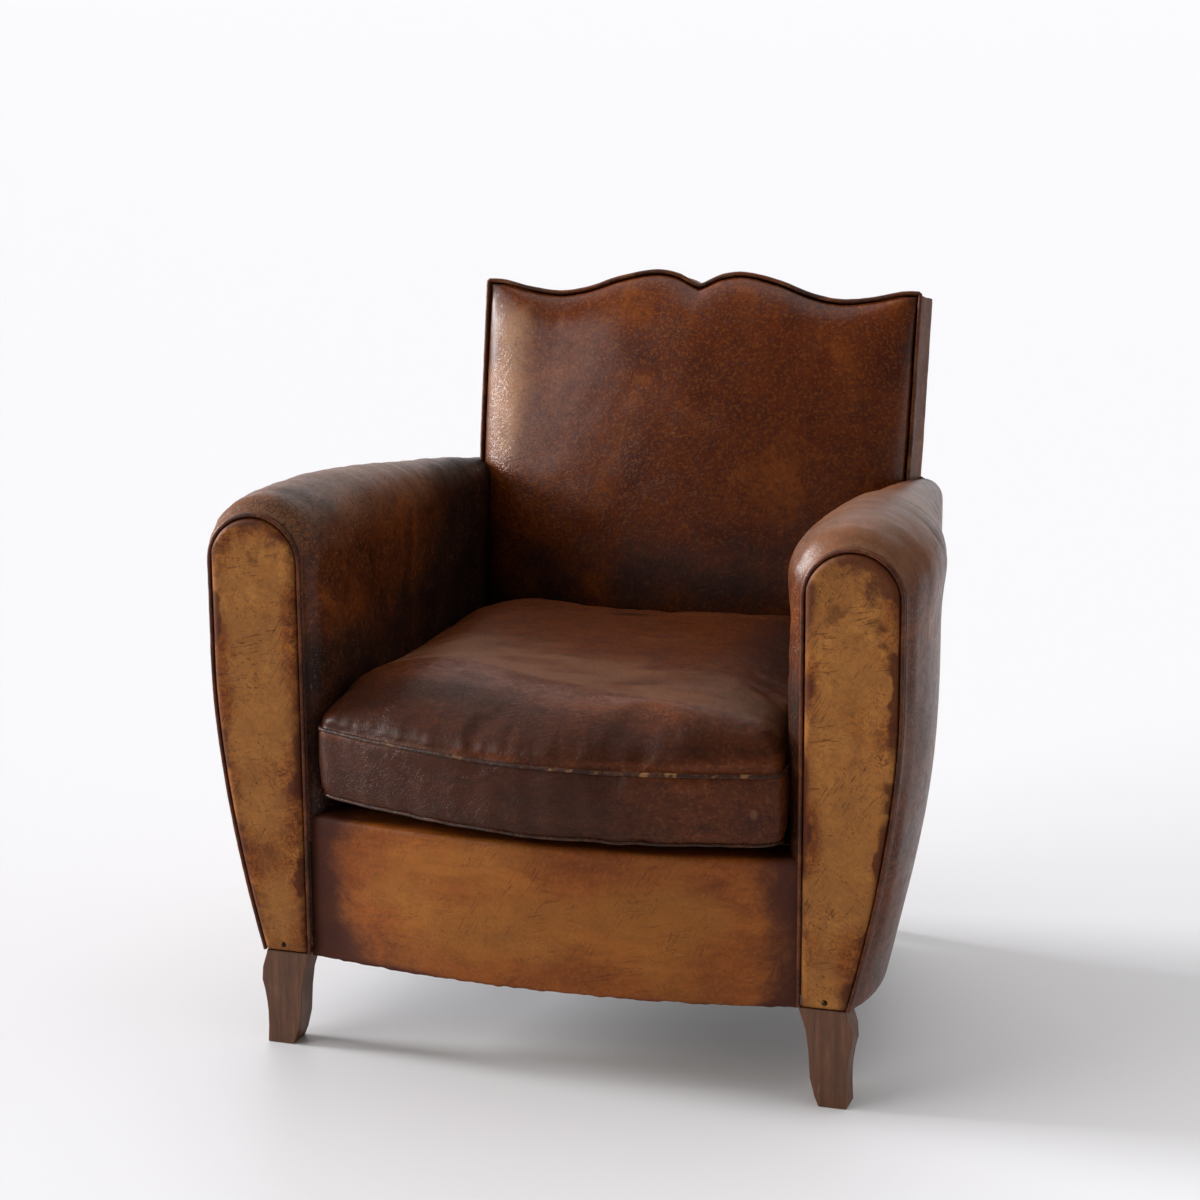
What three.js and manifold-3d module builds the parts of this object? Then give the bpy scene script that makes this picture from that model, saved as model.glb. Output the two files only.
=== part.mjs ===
// A worn leather club chair with a moustache back: beech frame, webbing, coil springs, stuffing,
// leather covers, piping, a loose bow-fronted seat cushion and four short wooden legs.
// Millimetres, +Z up, the front of the chair faces -Y and +X is the sitter's left.
import * as THREE from "three";
import { mergeVertices } from "three/addons/utils/BufferGeometryUtils.js";
import Module from "manifold-3d";

const wasm = await Module();
wasm.setup();

// ---- driving dimensions ----
const GAP = 0.4; // running gap between neighbouring solids
const LEATHER = 2.5; // hide thickness
const BASE = 108; // underside of the upholstered body, which is the leg height
const FACE = -257; // front plane of the two arm facings
const INNER = 273; // half the clear width between the facings
const OUTER = 381; // half the width over the facings at their widest
const FLARE_FROM = 430; // below this height the outer sides draw in towards the legs
const FLARE = 51; // how far they draw in by the underside
const FLARE_POWER = 1.7;
const RAKE = THREE.MathUtils.degToRad(10.7); // lean of the back
const BACK_FOOT = [209.4, 123]; // y and z of the lower edge of the back's raked front plane
const BACK_THICK = 75;
const BACK_TOP = 796; // middle of the piping over the two moustache humps
const BACK_HALF = 270; // half the width of the back at its top corners
const DECK_TOP = 266; // top of the sprung seat, on which the cushion lies
const RAIL_Z = [116.3, 182]; // bottom and top of the seat rails
const PIPE = 3.6; // radius of the leather piping
const CUSHION_Z = [275, 362]; // heights of the cushion's two welts
const WALNUT = "#4a2c1b";
const BEECH = "#b98c5c";
const HIDE = "#5c3019";
const TAN_HIDE = "#8f5a2c";
const JUTE = "#9a7a4b";
const HORSEHAIR = "#3a2f28";
const STEEL = "#6f6a66";
const CAMBRIC = "#26221f";
const BRASS = "#4d3a22";

// ---- solids ----
const v3 = (x, y, z) => new THREE.Vector3(x, y, z);
const flat = (...places) => places.map(([x, y]) => new THREE.Vector2(x, y));

// A three.js geometry as a manifold-3d solid, with flat triangles dropped and its faces turned outwards.
function toSolid(geometry) {
  const bare = geometry.clone();
  for (const name of Object.keys(bare.attributes)) if (name !== "position") bare.deleteAttribute(name);
  const merged = mergeVertices(bare, 1e-3);
  const index = merged.index.array;
  const triangles = [];
  for (let i = 0; i < index.length; i += 3) {
    const [a, b, c] = [index[i], index[i + 1], index[i + 2]];
    if (a !== b && b !== c && a !== c) triangles.push(a, b, c);
  }
  const vertProperties = merged.attributes.position.array;
  const make = (list) =>
    new wasm.Manifold(new wasm.Mesh({ numProp: 3, vertProperties, triVerts: new Uint32Array(list) }));
  const solid = make(triangles);
  return solid.volume() > 0 ? solid : make(triangles.reverse());
}

function toGeometry(solid) {
  const mesh = solid.getMesh();
  const points = new Float32Array(mesh.numVert * 3);
  for (let i = 0; i < mesh.numVert; i++) {
    points.set(mesh.vertProperties.subarray(i * mesh.numProp, i * mesh.numProp + 3), i * 3);
  }
  const geometry = new THREE.BufferGeometry();
  geometry.setAttribute("position", new THREE.BufferAttribute(points, 3));
  geometry.setIndex(new THREE.BufferAttribute(mesh.triVerts, 1));
  return geometry;
}

const cut = (solid, tools) => tools.reduce((left, tool) => left.subtract(tool), solid);
const mirrored = (solid) => solid.mirror([1, 0, 0]);

// A box whose unit coordinates are sent through map(u, v, w).
function block(map, nu = 1, nv = 1, nw = 1) {
  const geometry = new THREE.BoxGeometry(1, 1, 1, nu, nv, nw).translate(0.5, 0.5, 0.5);
  const at = geometry.attributes.position;
  for (let i = 0; i < at.count; i++) {
    const p = map(at.getX(i), at.getY(i), at.getZ(i));
    at.setXYZ(i, p.x, p.y, p.z);
  }
  return toSolid(geometry);
}

const box = (x, y, z) =>
  block((u, v, w) => v3(x[0] + u * (x[1] - x[0]), y[0] + v * (y[1] - y[0]), z[0] + w * (z[1] - z[0])));

// A closed outline moved outwards by d, or inwards where d is negative.
function offset(outline, d) {
  const turn = THREE.ShapeUtils.isClockWise(outline) ? -1 : 1;
  return outline.map((p, i) => {
    const before = outline[(i + outline.length - 1) % outline.length];
    const after = outline[(i + 1) % outline.length];
    const a = p.clone().sub(before).normalize();
    const b = after.clone().sub(p).normalize();
    const along = a.clone().add(b).normalize();
    const reach = (d * turn) / Math.max(0.5, along.dot(a));
    return new THREE.Vector2(p.x + along.y * reach, p.y - along.x * reach);
  });
}

// A flat plate of a given outline; points that lie on a straight run are left out.
function plate(outline, depth) {
  const corners = outline.filter((p, i) => {
    const before = outline[(i + outline.length - 1) % outline.length];
    const after = outline[(i + 1) % outline.length];
    return Math.abs(p.clone().sub(before).cross(after.clone().sub(p))) > 1e-3;
  });
  return new THREE.ExtrudeGeometry(new THREE.Shape(corners), { depth, bevelEnabled: false });
}

// An outline in the ground plane, standing from height z0 to z1.
const upright = (outline, z0, z1) => toSolid(plate(outline, z1 - z0).translate(0, 0, z0));

// An outline seen from the front (x, height), reaching back from y0 to y1.
const facing = (outline, y0, y1) => toSolid(plate(outline, y1 - y0).rotateX(Math.PI / 2).translate(0, y1, 0));

// A straight rectangular timber between two points, its width kept level; grow widens it all round.
function timber(from, to, width, height, grow = 0) {
  const along = to.clone().sub(from);
  const geometry = new THREE.BoxGeometry(width + 2 * grow, along.length() + 2 * grow, height + 2 * grow);
  const y = along.normalize();
  const x = v3(0, 0, 1).cross(y).negate();
  if (x.length() < 0.3) x.set(1, 0, 0);
  x.addScaledVector(y, -x.dot(y)).normalize();
  const basis = new THREE.Matrix4().makeBasis(x, y, x.clone().cross(y));
  const middle = from.clone().add(to).multiplyScalar(0.5);
  return toSolid(geometry.applyMatrix4(basis).translate(middle.x, middle.y, middle.z));
}

// A round cord of radius r along a curve.
function cord(curve, r, steps, sides = 6) {
  const round = new THREE.Shape();
  round.absarc(0, 0, r, 0, Math.PI * 2);
  const options = { extrudePath: curve, steps, bevelEnabled: false, curveSegments: sides / 2 };
  return toSolid(new THREE.ExtrudeGeometry(round, options));
}

// A round welt of radius r lying level at height z along a closed plan outline.
function weltAlong(outline, r, z, sides = 6) {
  const points = [];
  const index = [];
  const n = outline.length;
  for (let k = 0; k < sides; k++) {
    const a = (k / sides) * 2 * Math.PI;
    for (const p of offset(outline, r * Math.cos(a))) points.push(v3(p.x, p.y, z + r * Math.sin(a)));
  }
  for (let k = 0; k < sides; k++) {
    for (let i = 0; i < n; i++) {
      const [a, b] = [k * n + i, k * n + ((i + 1) % n)];
      const [c, d] = [(a + n) % (n * sides), (b + n) % (n * sides)];
      index.push(a, b, c, b, d, c);
    }
  }
  return toSolid(new THREE.BufferGeometry().setFromPoints(points).setIndex(index));
}

// The value at t of a smooth curve through [place, value] pairs.
function through(pairs) {
  const places = new Float32Array(pairs.map((p) => p[0]));
  const values = new Float32Array(pairs.map((p) => p[1]));
  const curve = new THREE.CubicInterpolant(places, values, 1, new Float32Array(1));
  return (t) => curve.evaluate(THREE.MathUtils.clamp(t, places[0], places[places.length - 1]))[0];
}

// ---- the arms ----
const armInner = through([[-247, 273], [-235, 262], [-215, 255], [-180, 252], [380, 252]]);
const armOuter = through([[-247, 381], [-225, 387], [-180, 392], [-120, 388], [-20, 368], [130, 338],
  [380, 290]]);
const armRidge = through([[-247, 597], [-240, 606], [-225, 612], [-130, 613], [0, 604], [100, 592],
  [200, 579], [380, 550]]);
const ARM_FRONT = -247;
const ARM_BACK = 380;
const ARM_STATIONS = [ARM_FRONT, -242, -234, -220, -190, -150, -90, -20, 60, 150, 250, ARM_BACK];
const SIDE_HEIGHTS = [0, 0.16, 0.33, 0.5, 0.66, 0.83, 1];
const ROLL_STEPS = 12;
const flare = (z) => (z < FLARE_FROM ? FLARE * ((FLARE_FROM - z) / (FLARE_FROM - BASE)) ** FLARE_POWER : 0);

// The tombstone section of an arm: up the inner side, over the roll and down the drawn-in outer side.
function armSection(inner, outer, ridge, below = 0) {
  const half = (outer - inner) / 2;
  const spring = ridge - half;
  const points = [];
  if (below) points.push(new THREE.Vector2(inner, BASE - below));
  for (const s of SIDE_HEIGHTS) points.push(new THREE.Vector2(inner, BASE + s * (spring - BASE)));
  for (let i = 1; i < ROLL_STEPS; i++) {
    const a = Math.PI - (i / ROLL_STEPS) * Math.PI;
    points.push(new THREE.Vector2(inner + half + half * Math.cos(a), spring + half * Math.sin(a)));
  }
  for (const s of SIDE_HEIGHTS.slice().reverse()) {
    const z = BASE + s * (spring - BASE);
    points.push(new THREE.Vector2(outer - flare(z), z));
  }
  if (below) points.push(new THREE.Vector2(outer - FLARE, BASE - below));
  return points;
}

// The arm's whole form drawn in by inset; it can reach lower and beyond both ends, to leave it open there.
function armForm(inset, below = 0, beyond = 0) {
  const stations = ARM_STATIONS.slice();
  if (beyond) {
    stations.unshift(ARM_FRONT - beyond);
    stations.push(ARM_BACK + beyond);
  }
  const rings = stations.map((y) =>
    offset(armSection(armInner(y), armOuter(y), armRidge(y), below), -inset).map((p) => v3(p.x, y, p.y)));
  const sides = rings[0].length;
  const points = rings.flat();
  const index = [];
  for (let i = 0; i < rings.length - 1; i++) {
    for (let j = 0; j < sides; j++) {
      const [a, b] = [i * sides + j, i * sides + ((j + 1) % sides)];
      index.push(a, b, a + sides, b, b + sides, a + sides);
    }
  }
  for (const [ring, flip] of [[0, false], [rings.length - 1, true]]) {
    const start = ring * sides;
    const middle = points.push(rings[ring][0].clone().lerp(rings[ring][sides - 4], 0.5)) - 1;
    for (let j = 0; j < sides; j++) {
      const [a, b] = [start + j, start + ((j + 1) % sides)];
      index.push(middle, flip ? a : b, flip ? b : a);
    }
  }
  return toSolid(new THREE.BufferGeometry().setFromPoints(points).setIndex(index));
}

// ---- the back ----
const BACK_FRAME = new THREE.Matrix4().makeRotationX(-RAKE).setPosition(0, ...BACK_FOOT);
const TOP_CORNER = (BACK_TOP - 15 - BACK_FOOT[1]) / Math.cos(RAKE); // height of the top corners up the rake
const backHalf = through([[0, 214], [120, 232], [250, 254], [400, 266], [TOP_CORNER, BACK_HALF]]);
// The moustache: corners, a sag, two humps and a notch in the middle.
const moustache = through([[0, 1], [7, 3.6], [28, 13.5], [56, 17], [100, 8], [140, -6], [176, -12], [215, -8],
  [250, -0.5], [BACK_HALF, 0]]);
const inBack = (solid) => solid.transform(BACK_FRAME.elements);
const backPoint = (x, t, s) => v3(x, t, s).applyMatrix4(BACK_FRAME);

// The outline of the back up from one of its heights s0, over the moustache and down again.
const BACK_HEIGHTS = [0, 60, 120, 185, 250, 325, 400, 430, 456, 520, 590, 640];
function backOutline(s0) {
  const side = [];
  for (const s of BACK_HEIGHTS.filter((height) => height >= s0)) side.push(new THREE.Vector2(backHalf(s), s));
  const points = side.slice();
  for (let i = 0; i <= 40; i++) {
    const x = BACK_HALF * (1 - i / 20);
    points.push(new THREE.Vector2(x, TOP_CORNER + moustache(Math.abs(x))));
  }
  for (const p of side.reverse()) points.push(new THREE.Vector2(-p.x, p.y));
  return points;
}

const backForm = (grow, s0 = 0) => inBack(facing(offset(backOutline(s0), grow), -grow, BACK_THICK + grow));
// How far the stuffed front of the back swells forward, by its share across and its share up.
const backSwell = (u, v) => 52 * Math.sin(Math.PI * u) ** 0.55 * Math.sin(Math.PI * (0.06 + 0.94 * v)) ** 0.7;
const INSIDE_FROM = 140; // the inside back's lower edge, tucked behind the seat

// A layer of the back between two depths behind its face, each a function of the share across and up.
function backLayer(inset, near, far) {
  return inBack(block((u, v, w) => {
    const x0 = (2 * u - 1) * BACK_HALF;
    const top = TOP_CORNER + moustache(Math.abs(x0)) - inset;
    const s = INSIDE_FROM + v * (top - INSIDE_FROM);
    return v3((2 * u - 1) * (backHalf(s) - inset), w ? far(u, v) : near(u, v), s);
  }, 20, 10, 1));
}

// ---- the seat ----
const apronFront = (x) => -245 - 32 * (1 - (x / INNER) ** 2);
const cushionFront = (x) => -262 - 50 * (1 - (x / INNER) ** 2);

// A plan outline with a bowed front edge and a straight back edge.
function bowed(half, front, back, steps = 16) {
  const points = [];
  for (let i = 0; i <= steps; i++) {
    const x = half * ((2 * i) / steps - 1);
    points.push(new THREE.Vector2(x, front(x)));
  }
  points.push(new THREE.Vector2(half, back), new THREE.Vector2(-half, back));
  return points;
}

// ---- frame timbers, each made with a growth so that the stuffing can be cut round it ----
const POST_X = [287, 322];
const POST_Y = [-243, -208];
// The front leg seen from the front: a sabre curve inside, a slight knee outside.
const LEG_OUTLINE = flat([297.5, 0], [328, 0], [327, 20], [327, 35], [328, 47], [330, 60], [333, 72],
  [332, 87], [327, 103], [326, BASE - GAP], [275, BASE - GAP], [280, 92], [283, 83], [286, 61], [287, 47],
  [288, 31], [293, 11]);
const LEG_Y = [-253, -221];
const TENON = { x: 304, y: -230, r: 8, top: 150 };

function tenon(grow) {
  const pin = new THREE.CylinderGeometry(TENON.r + grow, TENON.r + grow, TENON.top - BASE + 6 + grow, 20);
  return toSolid(pin.rotateX(Math.PI / 2).translate(TENON.x, TENON.y, (TENON.top + BASE - 6 + grow) / 2));
}

const frontLeg = () => facing(LEG_OUTLINE, LEG_Y[0], LEG_Y[1]).add(tenon(0)).add(
  box([282, 326], [POST_Y[0], LEG_Y[1]], [BASE - 8, RAIL_Z[0] - GAP]));
const frontPost = (g) =>
  box([POST_X[0] - g, POST_X[1] + g], [POST_Y[0] - g, POST_Y[1] + g], [RAIL_Z[0] - g, 548 + g]);
const REAR_LEG = { x: 222, top: 252, foot: 302, wide: [34, 26] };

function rearLeg() {
  return block((u, v, w) => {
    const half = (REAR_LEG.wide[1] + w * (REAR_LEG.wide[0] - REAR_LEG.wide[1])) / 2;
    const y = REAR_LEG.foot + (REAR_LEG.top - REAR_LEG.foot) * w ** 0.7;
    return v3(REAR_LEG.x + (2 * u - 1) * half, y + (2 * v - 1) * half, w * (RAIL_Z[0] - GAP));
  }, 1, 1, 8);
}

const POST_T = 39; // depth of the back posts' middle behind the face of the back
const backPost = (g) => timber(backPoint(199, POST_T, 71), backPoint(240, POST_T, 574), 32, 34, g);
const topRail = (g) => {
  const board = [new THREE.Vector2(-248 - g, 580 - g), new THREE.Vector2(248 + g, 580 - g)];
  for (let i = 9; i >= -9; i--) {
    const x = (i / 9) * (248 + g);
    board.push(new THREE.Vector2(x, TOP_CORNER + moustache(Math.abs(x)) - 15 + g));
  }
  return inBack(facing(board, 27 - g, 51 + g));
};
const backRail = (g) => timber(backPoint(-200, POST_T, 245), backPoint(200, POST_T, 245), 24, 46, g);
const rearRail = (g) => timber(backPoint(-250, POST_T, 32), backPoint(250, POST_T, 32), 26, 62, g);
const sideRail = (g) => timber(v3(305, POST_Y[1] + 1, 149), v3(240, 249, 149), 24, RAIL_Z[1] - RAIL_Z[0], g);
// The rail under the roll of the arm, with the return that joins it to the back post.
const armRail = (g) => timber(v3(305, POST_Y[1] + 1, 534), v3(278, 330, 512), 20, 26, g).add(
  timber(v3(236, 309, 513), v3(280, 309, 513), 20, 26, g));
const frontRail = (g) =>
  upright(offset(bowed(POST_X[0] - 1, (x) => apronFront(x) + 6, -214), g), RAIL_Z[0] - g, RAIL_Z[1] + g);

const arm = {
  post: cut(frontPost(0), [tenon(GAP)]),
  backPost: cut(backPost(0), [backRail(GAP)]),
  sideRail: cut(sideRail(0), [frontPost(GAP), rearRail(GAP)]),
  rail: cut(armRail(0), [frontPost(GAP), backPost(GAP)]),
};

const BLOCK_Z = [125, 170];
const frontBlockForm = (g) =>
  upright(offset(flat([285, -213], [285, -160], [232, -213]), g), BLOCK_Z[0] - g, BLOCK_Z[1] + g);
const frontBlock = cut(frontBlockForm(0), [sideRail(GAP), frontRail(GAP), frontPost(GAP)]);
const rearBlock = cut(upright(flat([234, 160], [228, 205], [180, 215]), ...BLOCK_Z),
  [sideRail(GAP), rearRail(GAP), backForm(GAP)]);

// The timbers as cutting tools for the stuffing.
const armTools = [frontBlockForm(GAP), frontPost(GAP), sideRail(GAP), armRail(GAP), tenon(GAP),
  frontRail(GAP), backPost(GAP), rearRail(GAP)];
const backTools = [backPost(GAP), mirrored(backPost(GAP)), topRail(GAP), backRail(GAP), rearRail(GAP),
  armRail(GAP), mirrored(armRail(GAP))];

// Everything behind the raked plane of the outside back.
const behind = inBack(box([-500, 500], [BACK_THICK - GAP, 400], [-200, 900]));
const armClear = [armForm(-GAP), mirrored(armForm(-GAP))];

// The arm's hide; its inner side ends at the seat, where it is pulled down to the rail.
const armCover = cut(armForm(0), [armForm(LEATHER, 20, 10), backForm(GAP), behind,
  box([200, 277], [-300, -205], [90, 232]), box([200, 257], [-206, 400], [90, 232])]);
const armStuffing = cut(armForm(LEATHER + GAP), [...armTools, backForm(GAP), behind,
  box([200, 400], [-300, 400], [90, 130]), box([200, 400], [-300, ARM_FRONT + GAP], [90, 700])]);

// ---- facings ----
const faceOutline = (inset) => offset(armSection(INNER, OUTER, armRidge(ARM_FRONT)), -inset);
const NAIL = { x: 304, z: 117, r: 3.4, shank: 0.9 };

function nail(grow) {
  const profile = flat([0, -9 - grow], [NAIL.shank + grow, -9 - grow], [NAIL.shank + grow, 0], [NAIL.r, 0],
    [NAIL.r * 0.8, 1.1], [NAIL.r * 0.4, 1.9], [0, 2.1]);
  const turned = new THREE.LatheGeometry(profile, 14).rotateX(Math.PI);
  return toSolid(turned.translate(NAIL.x, FACE - 0.2, NAIL.z));
}

const faceBoard = (g) => facing(faceOutline(PIPE * 2 + 3 - g), FACE + 3 - g, ARM_FRONT - GAP + g);
const faceHide = facing(faceOutline(PIPE * 2 + GAP), FACE, ARM_FRONT - GAP);

function facePiping() {
  const line = offset(armSection(INNER, OUTER, armRidge(ARM_FRONT)), -PIPE);
  const path = new THREE.CatmullRomCurve3(line.map((p) => v3(p.x, FACE + 5.7, p.y)), false, "centripetal");
  return cord(path, PIPE, 54);
}

// ---- back covers ----
const RIM = 5; // the piping's seat, left free round the inside back
const PIPED_FROM = 456; // height up the rake at which the piping comes out from behind the arm
const BAND_FROM = 430;

function backPiping(r) {
  const path = backOutline(PIPED_FROM).map((p) => backPoint(p.x, 0, p.y));
  return cord(new THREE.CatmullRomCurve3(path, false, "centripetal"), r, 76);
}

const insideBack = cut(backLayer(RIM, (u, v) => -backSwell(u, v), (u, v) => LEATHER - backSwell(u, v)),
  [...armClear, backPiping(PIPE + 2 * GAP)]);
const backStuffing = cut(
  backLayer(RIM, () => 4, (u, v) => LEATHER + GAP - backSwell(u, v)).add(
    inBack(facing(offset(backOutline(0), -LEATHER - GAP - 2.2), 3.9, 50))),
  [...backTools, ...armClear, backPiping(PIPE + 2 * GAP),
    inBack(box([-400, 400], [-100, -0.01], [-40, INSIDE_FROM]))]);
const backBand = inBack(cut(facing(backOutline(BAND_FROM), 4.4, BACK_THICK - GAP),
  [facing([...offset(backOutline(BAND_FROM), -LEATHER).slice(1, -1),
    new THREE.Vector2(LEATHER - backHalf(BAND_FROM), BAND_FROM - 20),
    new THREE.Vector2(backHalf(BAND_FROM) - LEATHER, BAND_FROM - 20)], 0, BACK_THICK + 5)]));

// The outside back spans the arms' rear edges below and follows the moustache above.
function outsideBack() {
  const rearHalf = (s) => {
    const p = backPoint(0, BACK_THICK, s);
    return armOuter(p.y) - flare(p.z);
  };
  const side = [0, 60, 120, 180, 250, 330, 405].map((s) => new THREE.Vector2(rearHalf(s) - 0.5, s));
  side.push(new THREE.Vector2(290, 438), new THREE.Vector2(284, 447), new THREE.Vector2(272, 452));
  const top = backOutline(456);
  return inBack(facing([...side, ...top, ...side.slice().reverse().map((p) => new THREE.Vector2(-p.x, p.y))],
    BACK_THICK, BACK_THICK + LEATHER));
}

const backClear = backLayer(RIM - GAP, (u, v) => -3 * GAP - backSwell(u, v), () => 30);

// ---- seat covers, stuffing, springs and webbing ----
const SEAT_FRONT = -201; // where the apron's top ends and the deck begins
const behindApron = (inset) => (x) => apronFront(x) + inset;
const apron = cut(upright(bowed(INNER - GAP, apronFront, SEAT_FRONT), BASE - 4, DECK_TOP),
  [upright(bowed(INNER + 8, behindApron(LEATHER), SEAT_FRONT + 10), BASE - 30, DECK_TOP - LEATHER),
    ...armClear]);
const edgeRoll = cut(upright(bowed(INNER - 2, behindApron(LEATHER + GAP), SEAT_FRONT), RAIL_Z[1] + GAP,
  DECK_TOP - LEATHER - GAP), [...armClear, frontPost(GAP), mirrored(frontPost(GAP))]);
const seatDeck = cut(box([-251, 251], [SEAT_FRONT + GAP, 228], [236, DECK_TOP]),
  [...armClear, backForm(GAP), backClear]);

const SPRING = { end: 40, waist: 30, wire: 1.9, turns: 4, low: 118.6, high: 233.6 };
function spring() {
  class Coil extends THREE.Curve {
    getPoint(t, target = new THREE.Vector3()) {
      const a = t * SPRING.turns * 2 * Math.PI;
      const r = SPRING.waist + (SPRING.end - SPRING.waist) * (2 * t - 1) ** 2;
      return target.set(r * Math.cos(a), r * Math.sin(a), SPRING.low + t * (SPRING.high - SPRING.low));
    }
  }
  return cord(new Coil(), SPRING.wire, SPRING.turns * 9, 5);
}

const SPRING_X = [-140, 0, 140];
const SPRING_Y = [-140, -10, 120];
const STRAP = { wide: 58, thick: 1.8 };
const lengthwise = (x) => box([x - STRAP.wide / 2, x + STRAP.wide / 2], [-243, 246],
  [RAIL_Z[0] - 2 * (STRAP.thick + GAP), RAIL_Z[0] - STRAP.thick - 2 * GAP]);
const crosswise = (y) => {
  const reach = 300 - 0.18 * (y + 180);
  return box([-reach, reach], [y - STRAP.wide / 2, y + STRAP.wide / 2], [RAIL_Z[0] - STRAP.thick - GAP,
    RAIL_Z[0] - GAP]);
};
const dustCover = upright(flat([-286, -214], [286, -214], [214, 226], [-214, 226]), BASE - 3, BASE - 1.6);

// ---- the loose cushion ----
const CUSHION_HALF = [266, 250.5]; // half width at the front corners and between the arms
const CUSHION_BACK = 206;
const cushionHalf = through([[-262, CUSHION_HALF[0]], [-245, 262], [-215, 253], [-180, CUSHION_HALF[1]],
  [CUSHION_BACK, 246]]);

// The cushion's plan outline: bowed in front with eased corners, straight behind.
function cushionOutline(inset) {
  const points = [];
  for (let i = 0; i <= 20; i++) {
    const x = CUSHION_HALF[0] * (i / 10 - 1) * 0.985;
    points.push(new THREE.Vector2(x, cushionFront(x) + 9 * Math.abs(i / 10 - 1) ** 14));
  }
  for (const y of [-236, -200, -120, -20, 80, 160]) points.push(new THREE.Vector2(cushionHalf(y), y));
  points.push(new THREE.Vector2(243, 192), new THREE.Vector2(230, CUSHION_BACK));
  const back = points.slice(21).reverse().map((p) => new THREE.Vector2(-p.x, p.y));
  return offset([...points, ...back], -inset);
}

function cushion() {
  const edge = cushionOutline(3.4);
  const layers = [[0.9, CUSHION_Z[0] - 7], [1, CUSHION_Z[0]], [1.006, (CUSHION_Z[0] + CUSHION_Z[1]) / 2],
    [1, CUSHION_Z[1]], [0.93, CUSHION_Z[1] + 22], [0.8, CUSHION_Z[1] + 40], [0.6, CUSHION_Z[1] + 54],
    [0.3, CUSHION_Z[1] + 64]];
  const middle = new THREE.Vector2(0, -30);
  const sides = edge.length;
  const points = layers.flatMap(([share, z]) =>
    edge.map((p) => v3(p.x * share, middle.y + (p.y - middle.y) * share, z)));
  points.push(v3(0, middle.y, CUSHION_Z[0] - 7), v3(0, middle.y, CUSHION_Z[1] + 67));
  const index = [];
  for (let i = 0; i < layers.length - 1; i++) {
    for (let j = 0; j < sides; j++) {
      const [a, b] = [i * sides + j, i * sides + ((j + 1) % sides)];
      index.push(a, b, a + sides, b, b + sides, a + sides);
    }
  }
  const last = (layers.length - 1) * sides;
  for (let j = 0; j < sides; j++) {
    const next = (j + 1) % sides;
    index.push(next, j, points.length - 2, last + j, last + next, points.length - 1);
  }
  const whole = toSolid(new THREE.BufferGeometry().setFromPoints(points).setIndex(index));
  return cut(whole, [...armClear, backClear, welt(0, 2.9),
    welt(1, 2.9)]);
}

const welt = (level, r = 2.5) => weltAlong(cushionOutline(2.6), r, CUSHION_Z[level]);

// ---- the chair ----
const chair = new THREE.Group();
chair.name = "club_chair";

function add(name, solid, color, roughness = 0.6, metalness = 0) {
  const material = new THREE.MeshStandardMaterial({ color, roughness, metalness });
  const mesh = new THREE.Mesh(toGeometry(solid), material);
  mesh.name = name;
  chair.add(mesh);
  return mesh;
}

function addPair(name, solid, ...looks) {
  add(name + "_right", solid, ...looks);
  add(name + "_left", mirrored(solid), ...looks);
}

addPair("front_leg", frontLeg(), WALNUT, 0.45);
addPair("rear_leg", rearLeg(), WALNUT, 0.45);
addPair("front_post", arm.post, BEECH, 0.7);
addPair("back_post", arm.backPost, BEECH, 0.7);
addPair("side_rail", arm.sideRail, BEECH, 0.7);
addPair("arm_rail", arm.rail, BEECH, 0.7);
add("front_rail", frontRail(0), BEECH, 0.7);
add("rear_rail", rearRail(0), BEECH, 0.7);
add("back_rail", backRail(0), BEECH, 0.7);
add("top_rail", topRail(0), BEECH, 0.7);
addPair("front_corner_block", frontBlock, BEECH, 0.7);
addPair("rear_corner_block", rearBlock, BEECH, 0.7);

for (const [i, x] of SPRING_X.entries()) add("webbing_lengthwise_" + (i + 1), lengthwise(x), JUTE, 0.95);
for (const [i, y] of SPRING_Y.entries()) add("webbing_crosswise_" + (i + 1), crosswise(y), JUTE, 0.95);
for (const [row, y] of SPRING_Y.entries()) {
  for (const [column, x] of SPRING_X.entries()) {
    add(`seat_spring_${row + 1}_${column + 1}`, spring(), STEEL, 0.4, 1).position.set(x, y, 0);
  }
}

add("seat_deck", seatDeck, JUTE, 0.95);
add("apron_edge_roll", edgeRoll, HORSEHAIR, 1);
addPair("arm_stuffing", armStuffing, HORSEHAIR, 1);
add("back_stuffing", backStuffing, HORSEHAIR, 1);

addPair("arm_cover", armCover, HIDE, 0.4);
addPair("facing_board", cut(faceBoard(0), [nail(GAP)]), BEECH, 0.7);
addPair("facing_cover", cut(faceHide, [faceBoard(GAP), nail(GAP)]), TAN_HIDE, 0.5);
addPair("facing_piping", facePiping(), HIDE, 0.45);
addPair("facing_nail", nail(0), BRASS, 0.5, 1);
add("inside_back_cover", insideBack, HIDE, 0.38);
add("back_band", backBand, HIDE, 0.45);
add("outside_back_cover", outsideBack(), HIDE, 0.5);
add("back_piping", backPiping(PIPE), HIDE, 0.45);
add("apron_cover", apron, TAN_HIDE, 0.45);
add("dust_cover", dustCover, CAMBRIC, 0.95);
add("seat_cushion", cushion(), HIDE, 0.4);
add("cushion_welt_bottom", welt(0), HIDE, 0.5);
add("cushion_welt_top", welt(1), HIDE, 0.5);

// The origin is under the middle of the chair's bounding box, on the floor.
const bounds = new THREE.Box3().setFromObject(chair);
chair.position.y = -(bounds.min.y + bounds.max.y) / 2;
export default chair;
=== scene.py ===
import bisect
import math
import bpy
import bmesh
from mathutils import Matrix, Vector, noise
from mathutils.bvhtree import BVHTree


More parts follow.
